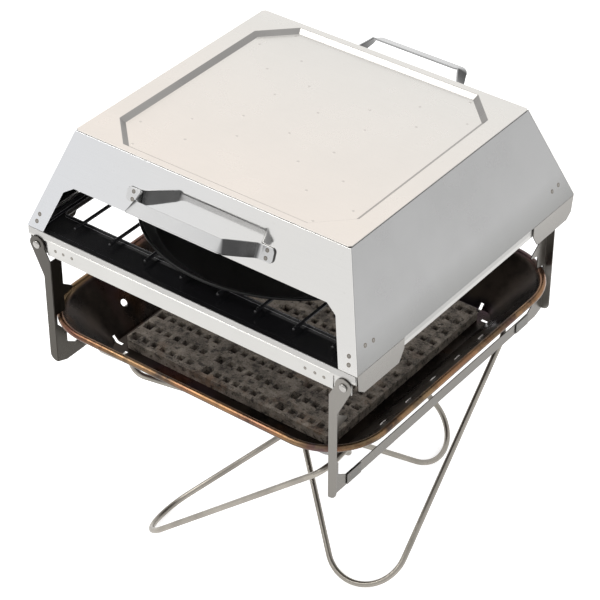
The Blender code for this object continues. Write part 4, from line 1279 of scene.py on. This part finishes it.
@dataclass
class Grate:
    """Black grate border and its welded round wires, with the baking pan on them."""

    shop: Workshop
    wire_r: float = 0.0020
    wire_pitch: float = 0.0482
    wire_count: int = 8
    wire_half: float = 0.177
    wire_z: float = 0.3926
    bar_pitch: float = 0.100
    bar_count: int = 3
    bar_half: float = 0.1997
    bar_z: float = 0.3891
    pan_x: float = 0.005
    pan_y: float = -0.012
    pan_rim_r: float = 0.1725
    pan_floor_r: float = 0.158
    pan_height: float = 0.0150
    pan_sheet: float = 0.0012
    pan_bead_r: float = 0.0018
    pan_under_z: float = 0.3949
    pan_bend: float = 0.004
    pan_middle_r: float = 0.002
    pan_sides: int = 160
    wire_sides: int = 14
    border_soft: float = 0.0006

    def make_grid(self) -> None:
        """Make the grid's wires with domed ends."""
        bm = bmesh.new()
        inset = self.wire_r * DOME_LENGTH
        for index in range(self.wire_count):
            x = self.wire_pitch * (index - (self.wire_count - 1) / 2)
            reach = self.wire_half - inset
            path = [Vector((x, y, self.wire_z)) for y in (-reach, 0.0, reach)]
            tube(bm, path, self.wire_r, self.wire_sides, False)
        for index in range(self.bar_count):
            y = self.bar_pitch * (index - (self.bar_count - 1) / 2)
            reach = self.bar_half - inset
            path = [Vector((x, y, self.bar_z)) for x in (-reach, 0.0, reach)]
            tube(bm, path, self.wire_r, self.wire_sides, False)
        self.shop.piece("grate_wires", bm, [GRATE_ENAMEL], "grate", "black_enamel", ["grate_grid"], 50.0)

    def make_pan(self) -> None:
        """Make the round baking pan with its rolled edge."""
        low = self.pan_under_z
        bead = self.pan_bead_r
        bead_z = low + self.pan_height - bead
        wall = self.pan_sheet
        bend = self.pan_bend
        floor = self.pan_floor_r
        profile = [(self.pan_middle_r, low), (floor * 0.5, low)]
        profile += arc((floor - bend, low + bend), bend, -90.0, -20.0, 6)
        profile.append((self.pan_rim_r - 2 * bead, bead_z - bead))
        profile += arc((self.pan_rim_r - bead, bead_z), bead, -70.0, 170.0, 12)
        profile.append((self.pan_rim_r - 2 * bead - wall, bead_z - bead))
        profile += [(a - wall * 0.7, z + wall)
                    for a, z in arc((floor - bend, low + bend), bend, -20.0, -90.0, 6)]
        profile += [(floor * 0.5, low + wall), (self.pan_middle_r, low + wall)]

        def place(a: float, b: float, distance: float) -> Vector:
            """Return a point of the pan."""
            return Vector((self.pan_x + a, self.pan_y + b, distance))

        bm = bmesh.new()
        lathe(bm, profile, place, self.pan_sides)
        self.shop.piece("baking_pan_body", bm, [PAN_ENAMEL], "baking_pan", "pan_enamel",
                        ["baking_pan"], 40.0)

    def dress(self) -> None:
        """Dress the border, the wires and the pan."""
        self.shop.rounded("grate_pan", "grate", "black_enamel", GRATE_ENAMEL, self.border_soft,
                          2, GRATE_EDGE_HIGHLIGHT)
        self.make_grid()
        self.make_pan()


@dataclass
class FireTray:
    """Pressed tray with its rolled rim, and the slab in it."""

    shop: Workshop
    sheet: float = 0.0010
    rim_z: float = 0.282
    rim_half: float = 0.208
    corner_r: float = 0.068
    tube_r: float = 0.0038
    top_half: float = 0.2005
    top_drop: float = 0.004
    floor_half: float = 0.152
    floor_z: float = 0.2277
    slit_length: float = 0.010
    slit_height: float = 0.0035
    slit_drop: float = 0.017
    slit_pitch: float = 0.0454
    slit_count: int = 5
    slit_shift: float = -0.0193
    hole_r: float = 0.0045
    hole_y: float = 0.101
    hole_drop: float = 0.032
    slot_length: float = 0.014
    slot_width: float = 0.004
    slot_side_y: float = 0.138
    slot_end_x: float = 0.133
    lip_rise: float = 0.0009
    slab_soft: float = 0.0013
    hole_sides: int = 32
    lip_drop: float = 0.0004
    lip_sink: float = 0.0002
    lip_faces: Point = (0.0004, 0.0003)
    lip_shape: tuple[Point, ...] = ((-0.5, 0.25), (-0.42, 0.8), (-0.3, 1.0), (0.3, 1.0),
                                    (0.42, 0.8), (0.5, 0.25))
    outer_bend: tuple[Point, ...] = ((0.0, 0.0), (0.002, 0.0012))
    inner_bend: tuple[Point, ...] = ((0.003, 0.0031), (0.001, 0.0004), (-0.002, 0.0))

    @property
    def slope(self) -> tuple[float, float, float]:
        """Measure a wall.

        Returns:
            Its run, rise and slant.
        """
        run = self.top_half - self.floor_half
        rise = self.rim_z - self.top_drop - self.floor_z
        return run, rise, math.hypot(run, rise)

    def wall_x(self, drop: float) -> float:
        """Return how far out the wall is at a depth below the rim."""
        run, rise, _ = self.slope
        return self.top_half - (drop - self.top_drop) * run / rise

    def slit_places(self) -> list[float]:
        """Return how far behind the middle each slit is."""
        return [self.slit_shift + (index - (self.slit_count - 1) / 2) * self.slit_pitch
                for index in range(self.slit_count)]

    def square(self, half: float, z: float) -> list[Vector]:
        """Draw a rounded square ring of the tray.

        Args:
            half: half its width.
            z: its height.

        Returns:
            Its points.
        """
        radius = self.corner_r - (self.rim_half - half)
        points = []
        for index, (sx, sy) in enumerate(((1, 1), (-1, 1), (-1, -1), (1, -1))):
            centre = (sx * (half - radius), sy * (half - radius))
            points += arc(centre, radius, 90 * index, 90 * index + 90, 20)
        return [Vector((x, y, z)) for x, y in points]

    @staticmethod
    def box(bm: bmesh.types.BMesh, low: Sequence[float], high: Sequence[float]) -> None:
        """Add a closed box between two corners."""
        plan = ((low[0], low[1]), (high[0], low[1]), (high[0], high[1]), (low[0], high[1]))
        loft(bm, [[Vector((x, y, z)) for x, y in plan] for z in (low[2], high[2])])

    def cuts(self) -> bmesh.types.BMesh:
        """Make the tool that cuts slits, draught holes and drain slots.

        Returns:
            Its mesh.
        """
        bm = bmesh.new()
        run, rise, slant = self.slope
        x = self.wall_x(self.slit_drop)
        z = self.rim_z - self.slit_drop
        reach = self.slit_height + 2 * self.sheet
        for y in self.slit_places():
            self.box(bm, (x - reach, y - self.slit_length / 2, z - self.slit_height / 2),
                     (x + reach, y + self.slit_length / 2, z + self.slit_height / 2))
        hole_x = self.wall_x(self.hole_drop)
        hole_z = self.rim_z - self.hole_drop
        for side in (-1, 1):
            def place(a: float, b: float, distance: float, side: int = side) -> Vector:
                """Return a point of the drill."""
                return Vector((side * (hole_x + (b * run + distance * rise) / slant),
                               side * self.hole_y + a, hole_z + (b * rise - distance * run) / slant))
            drill = [(self.hole_r, -4 * self.sheet), (self.hole_r, 4 * self.sheet)]
            lathe(bm, drill, place, self.hole_sides)
        low, high = self.floor_z - 3 * self.sheet, self.floor_z + self.slot_length
        along, across = self.slot_length / 2, self.slot_width / 2
        for sx in (-1, 1):
            for sy in (-1, 1):
                x, y = sx * self.floor_half, sy * self.slot_side_y
                self.box(bm, (x - along, y - across, low), (x + along, y + across, high))
                x, y = sx * self.slot_end_x, sy * self.floor_half
                self.box(bm, (x - across, y - along, low), (x + across, y + along, high))
        bmesh.ops.recalc_face_normals(bm, faces=bm.faces)
        return bm

    def make_lips(self) -> None:
        """Raise the lower lip of each slit in the right wall, near white as a painted highlight."""
        run, rise, slant = self.slope
        drop = self.slit_drop + self.slit_height / 2 + self.lip_drop
        base = Vector((self.wall_x(drop), 0.0, self.rim_z - drop))
        inward = Vector((-rise, 0.0, run)) / slant
        down = Vector((-run, 0.0, -rise)) / slant
        back, front = self.lip_faces
        bm = bmesh.new()
        for y in self.slit_places():
            rings = []
            for along, share in self.lip_shape:
                middle = base + Vector((0.0, y + along * self.slit_length, 0.0))
                top = middle + inward * self.lip_rise * share
                low = middle - inward * self.lip_sink
                rings.append([low, low + down * back, top + down * front, top])
            loft(bm, rings)
        self.shop.piece("tray_slit_lips", bm, [SLIT_LIP_HIGHLIGHT], "fire_tray", "fired_steel")

    def dress(self) -> None:
        """Make the tray and dress the slab."""
        self.make_lips()
        top_z = self.rim_z - self.top_drop
        wall = self.sheet
        rings = [self.square(self.floor_half + wall / 2 + out, self.floor_z - wall + up)
                 for out, up in self.outer_bend]
        rings.append(self.square(self.top_half + wall / 2, top_z - wall))
        rings += [self.square(x, z) for x, z
                  in arc((self.rim_half, self.rim_z), self.tube_r, -135.0, 180.0, 14)]
        rings.append(self.square(self.top_half, top_z))
        rings += [self.square(self.floor_half + out, self.floor_z + up)
                  for out, up in self.inner_bend]
        tray = self.solid("tray_blank", loft(bmesh.new(), rings))
        tool = self.solid("tray_tool", self.cuts())
        cut = tray.modifiers.new("cut", "BOOLEAN")
        cut.solver = "EXACT"
        cut.object = tool
        evaluated = tray.evaluated_get(bpy.context.evaluated_depsgraph_get())
        bm = bmesh.new()
        bm.from_mesh(evaluated.to_mesh())
        evaluated.to_mesh_clear()
        for one in (tray, tool):
            bpy.data.objects.remove(one, do_unlink=True)
        self.shop.piece("fire_tray_body", bm, [TRAY_STEEL], "fire_tray", "fired_steel",
                        ["fire_tray"], 32.0)
        self.shop.rounded("charcoal_slab", "charcoal_slab", "cast_iron", SLAB_IRON,
                          self.slab_soft, 3)

    @staticmethod
    def solid(name: str, bm: bmesh.types.BMesh) -> bpy.types.Object:
        """Link a mesh as a closed solid, as a step in the making.

        Args:
            name: the object's name.
            bm: the mesh, which is used up.

        Returns:
            The new object.
        """
        bmesh.ops.recalc_face_normals(bm, faces=bm.faces)
        return add_object(name, bm)


@dataclass
class WireStand:
    """Four bent wire loops that open into a cross, and their two rivets."""

    shop: Workshop
    wire_r: float = 0.0035
    smooth_allowance: float = 0.0001
    yaw: float = math.radians(3.8)
    tilt: float = math.radians(41.1)
    hub_z: float = 0.097
    side: float = 0.180
    foot_r: float = 0.0472
    top_r: float = 0.020
    offset: float = 0.0055
    hub_lift: float = 0.0072
    jog_flat: float = 0.009
    jog_length: float = 0.020
    pin_r: float = 0.0015
    pin_head_r: float = 0.0026
    pin_head: float = 0.0020
    pin_half: float = 0.0137
    top_z: float = 0.2229
    wire_sides: int = 20
    pin_sides: int = 28

    def turn(self, quarter: int) -> Matrix:
        """Return the turn of a loop about the stand's middle."""
        return Matrix.Rotation(self.yaw + quarter * math.pi / 2, 3, "Z")

    def rise(self, quarter: int) -> float:
        """Return how far a loop's jog is above the hub, or below it."""
        return self.hub_lift if quarter % 2 == 0 else -self.hub_lift

    def path(self, quarter: int) -> list[Vector]:
        """Draw one closed loop.

        Args:
            quarter: how many quarter turns it is from the first loop.

        Returns:
            The points of its centre line.
        """
        rise = math.sin(self.tilt)
        top_q = (self.top_z - self.hub_z) / rise
        foot_q = self.foot_r - (self.hub_z - self.wire_r) / rise
        foot_p = self.foot_r - self.side
        reach = math.hypot(self.offset - foot_p, foot_q)
        lean = math.atan2(self.offset - foot_p, -foot_q) - math.asin(self.foot_r / reach)
        slope = math.tan(lean)
        apex = Vector((-self.side, (-self.side - self.offset) / slope))
        outer = Vector((-self.side, top_q))
        inner = Vector((self.offset + top_q * slope, top_q))
        flat = round_corner(inner, apex, outer, self.foot_r, 48)
        flat += round_corner(apex, outer, inner, self.top_r, 16)
        flat += round_corner(outer, inner, apex, self.top_r, 20)
        points = [Vector((p.y * math.cos(self.tilt), p.x, self.hub_z + p.y * rise)) for p in flat]
        along = Vector((math.cos(lean) * math.cos(self.tilt), math.sin(lean), math.cos(lean) * rise))
        hub = Vector((0.0, self.offset, self.hub_z))
        lift = Vector((0.0, 0.0, self.rise(quarter)))
        end = self.jog_flat + self.jog_length
        steps = 12
        shares = [index / steps for index in range(steps + 1)]
        jogs = [(end - self.jog_length * share, ease(share)) for share in shares]
        points += [hub + along * distance + lift * share for distance, share in jogs]
        points += [hub - along * distance + lift * share for distance, share in reversed(jogs)]
        turn = self.turn(quarter)
        return [turn @ p for p in points]

    def make_pin(self, name: str, quarter: int) -> None:
        """Make one rivet through a crossing pair of loops.

        Args:
            name: the node that it stands for.
            quarter: how many quarter turns it is from the first loop.
        """
        turn = self.turn(quarter)
        centre = Vector((0.0, 0.0, self.hub_z + self.rise(quarter)))
        half, head = self.pin_half, self.pin_head
        right = [(self.pin_r, half), (self.pin_head_r, half), (self.pin_head_r, half + head * 0.4),
                 (self.pin_head_r * 0.85, half + head * 0.75), (self.pin_head_r * 0.4, half + head)]
        profile = [(radius, -distance) for radius, distance in reversed(right)] + right

        def place(a: float, b: float, distance: float) -> Vector:
            """Return a point of the rivet."""
            return centre + turn @ Vector((a, distance, 0.0)) + Vector((0.0, 0.0, b))

        bm = bmesh.new()
        lathe(bm, profile, place, self.pin_sides)
        self.shop.piece(name + "_rivet", bm, [WIRE_NICKEL], "stand_core", "nickel_wire", [name],
                        35.0)

    def dress(self) -> None:
        """Make the loops and the rivets."""
        for quarter, letter in enumerate("abcd"):
            bm = bmesh.new()
            radius = self.wire_r - self.smooth_allowance
            tube(bm, self.path(quarter), radius, self.wire_sides, True)
            self.shop.piece(f"wire_loop_{letter}", bm, [WIRE_NICKEL], f"stand_{letter}", "nickel_wire",
                            [f"stand_loop_{letter}"], 60.0)
        self.make_pin("stand_pin_upper", 0)
        self.make_pin("stand_pin_lower", 1)


@dataclass
class Studio:
    """Pale floor, white surround, soft lamps and the camera."""

    azimuth: float = math.radians(37.17)
    elevation: float = math.radians(36.47)
    distance: float = 2.38898
    shift_right: float = 0.00385
    shift_up: float = 0.09684
    lens: float = 134.476
    sensor: float = 36.0
    far: float = 60.0
    aim_z: float = 0.392
    lamp_aim_z: float = 0.25
    floor_half: float = 6.0
    floor_z: float = -0.0006
    floor_tone: float = 0.92
    floor_glow: float = 0.62
    plain_light: float = 0.55

    def camera(self) -> None:
        """Place the camera at the photograph's angle."""
        az, el = self.azimuth, self.elevation
        back = Vector((math.sin(az) * math.cos(el), -math.cos(az) * math.cos(el), math.sin(el)))
        right = Vector((math.cos(az), math.sin(az), 0.0))
        up = back.cross(right)
        data = bpy.data.cameras.new("camera")
        data.lens = self.lens
        data.sensor_width = self.sensor
        data.clip_end = self.far
        obj = bpy.data.objects.new("camera", data)
        place = back * self.distance - right * self.shift_right - up * self.shift_up
        turn = Matrix((right, up, back)).transposed().to_4x4()
        obj.matrix_world = Matrix.Translation(place + Vector((0.0, 0.0, self.aim_z))) @ turn
        bpy.context.scene.collection.objects.link(obj)
        bpy.context.scene.camera = obj

    def lamp(self, name: str, place: Vector, size: float, power: float, colour: Colour,
             mirrored: bool = True) -> None:
        """Add one square area lamp that faces the oven.

        Args:
            name: the lamp's name.
            place: where it hangs.
            size: the edge of its square.
            power: its power in watts.
            colour: its colour.
            mirrored: whether bright metal shows it.
        """
        data = bpy.data.lights.new(name, "AREA")
        data.size = size
        data.energy = power
        data.color = colour
        obj = bpy.data.objects.new(name, data)
        obj.visible_glossy = mirrored
        aim = Vector((0.0, 0.0, self.lamp_aim_z)) - place
        facing = aim.to_track_quat("-Z", "Y").to_matrix().to_4x4()
        obj.matrix_world = Matrix.Translation(place) @ facing
        bpy.context.scene.collection.objects.link(obj)

    @staticmethod
    def seen(graph: Graph, *kinds: str) -> bpy.types.NodeSocket:
        """Tell some kinds of ray from the others.

        Args:
            graph: the nodes that need it.
            kinds: the Light Path node's names of the kinds.

        Returns:
            1 for a ray of those kinds, 0 for another.
        """
        path = graph.add("ShaderNodeLightPath")
        value = path.outputs[kinds[0]]
        for kind in kinds[1:]:
            value = graph.math("MAXIMUM", value, path.outputs[kind])
        return value

    def surround(self) -> None:
        """Let the camera and bright metal see white, and light the oven at a plain level."""
        world = bpy.data.worlds.new("surround")
        bpy.context.scene.world = world
        world.use_nodes = True
        graph = Graph(world.node_tree)
        seen = self.seen(graph, "Is Camera Ray", "Is Glossy Ray", "Is Transmission Ray")
        ground = world.node_tree.nodes["Background"]
        ground.inputs["Color"].default_value = opaque(WHITE)
        ground.inputs["Strength"].default_value = self.plain_light
        white = graph.add("ShaderNodeBackground", {"Color": opaque(WHITE), "Strength": 1.0})
        blend = graph.add("ShaderNodeMixShader", {0: seen, 1: ground.outputs[0], 2: white.outputs[0]})
        graph.tree.links.new(blend.outputs[0],
                             world.node_tree.nodes["World Output"].inputs["Surface"])

    def floor(self) -> None:
        """Lay the pale floor, which keeps the oven's shadow."""
        bm = bmesh.new()
        half = self.floor_half
        bm.faces.new([bm.verts.new((x, y, self.floor_z)) for x, y in
                      ((-half, -half), (half, -half), (half, half), (-half, half))])
        obj = add_object("floor", bm)
        made = bpy.data.materials.new("pale_floor")
        made.use_nodes = True
        graph = Graph(made.node_tree)
        shader = made.node_tree.nodes["Principled BSDF"]
        shader.inputs["Base Color"].default_value = opaque((self.floor_tone,) * 3)
        shader.inputs["Roughness"].default_value = 0.9
        shader.inputs["Specular IOR Level"].default_value = 0.1
        seen = self.seen(graph, "Is Camera Ray", "Is Glossy Ray")
        glow = graph.add("ShaderNodeEmission", {"Color": opaque(WHITE), "Strength": self.floor_glow})
        both = graph.add("ShaderNodeAddShader", {0: shader.outputs[0], 1: glow.outputs[0]})
        blend = graph.add("ShaderNodeMixShader", {0: seen, 1: shader.outputs[0], 2: both.outputs[0]})
        graph.tree.links.new(blend.outputs[0],
                             made.node_tree.nodes["Material Output"].inputs["Surface"])
        obj.data.materials.append(made)

    def build(self) -> None:
        """Build the studio."""
        self.camera()
        self.surround()
        self.floor()
        self.lamp("key", Vector((-1.3, -1.1, 2.3)), 1.3, 26.0, (1.0, 0.985, 0.96))
        self.lamp("fill", Vector((1.9, -1.4, 1.3)), 1.2, 9.0, (1.0, 1.0, 1.0), False)
        self.lamp("rim", Vector((0.3, 2.2, 1.2)), 1.0, 12.0, (1.0, 1.0, 1.0), False)
        self.lamp("front", Vector((0.7, -2.0, 0.75)), 0.8, 12.0, (1.0, 0.99, 0.97), False)
        bpy.context.scene.view_settings.view_transform = "Standard"


def main() -> None:
    """Build the studio and dress every sub-assembly in order."""
    logging.basicConfig(level=logging.INFO, format="%(message)s")
    Studio().build()
    shop = Workshop(Effects())
    for part in (Hood(shop), OvenFrame(shop), Grate(shop), FireTray(shop), WireStand(shop)):
        part.dress()
    LOG.info("%d pieces", shop.count)
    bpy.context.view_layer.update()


if __name__ == "__main__":
    main()
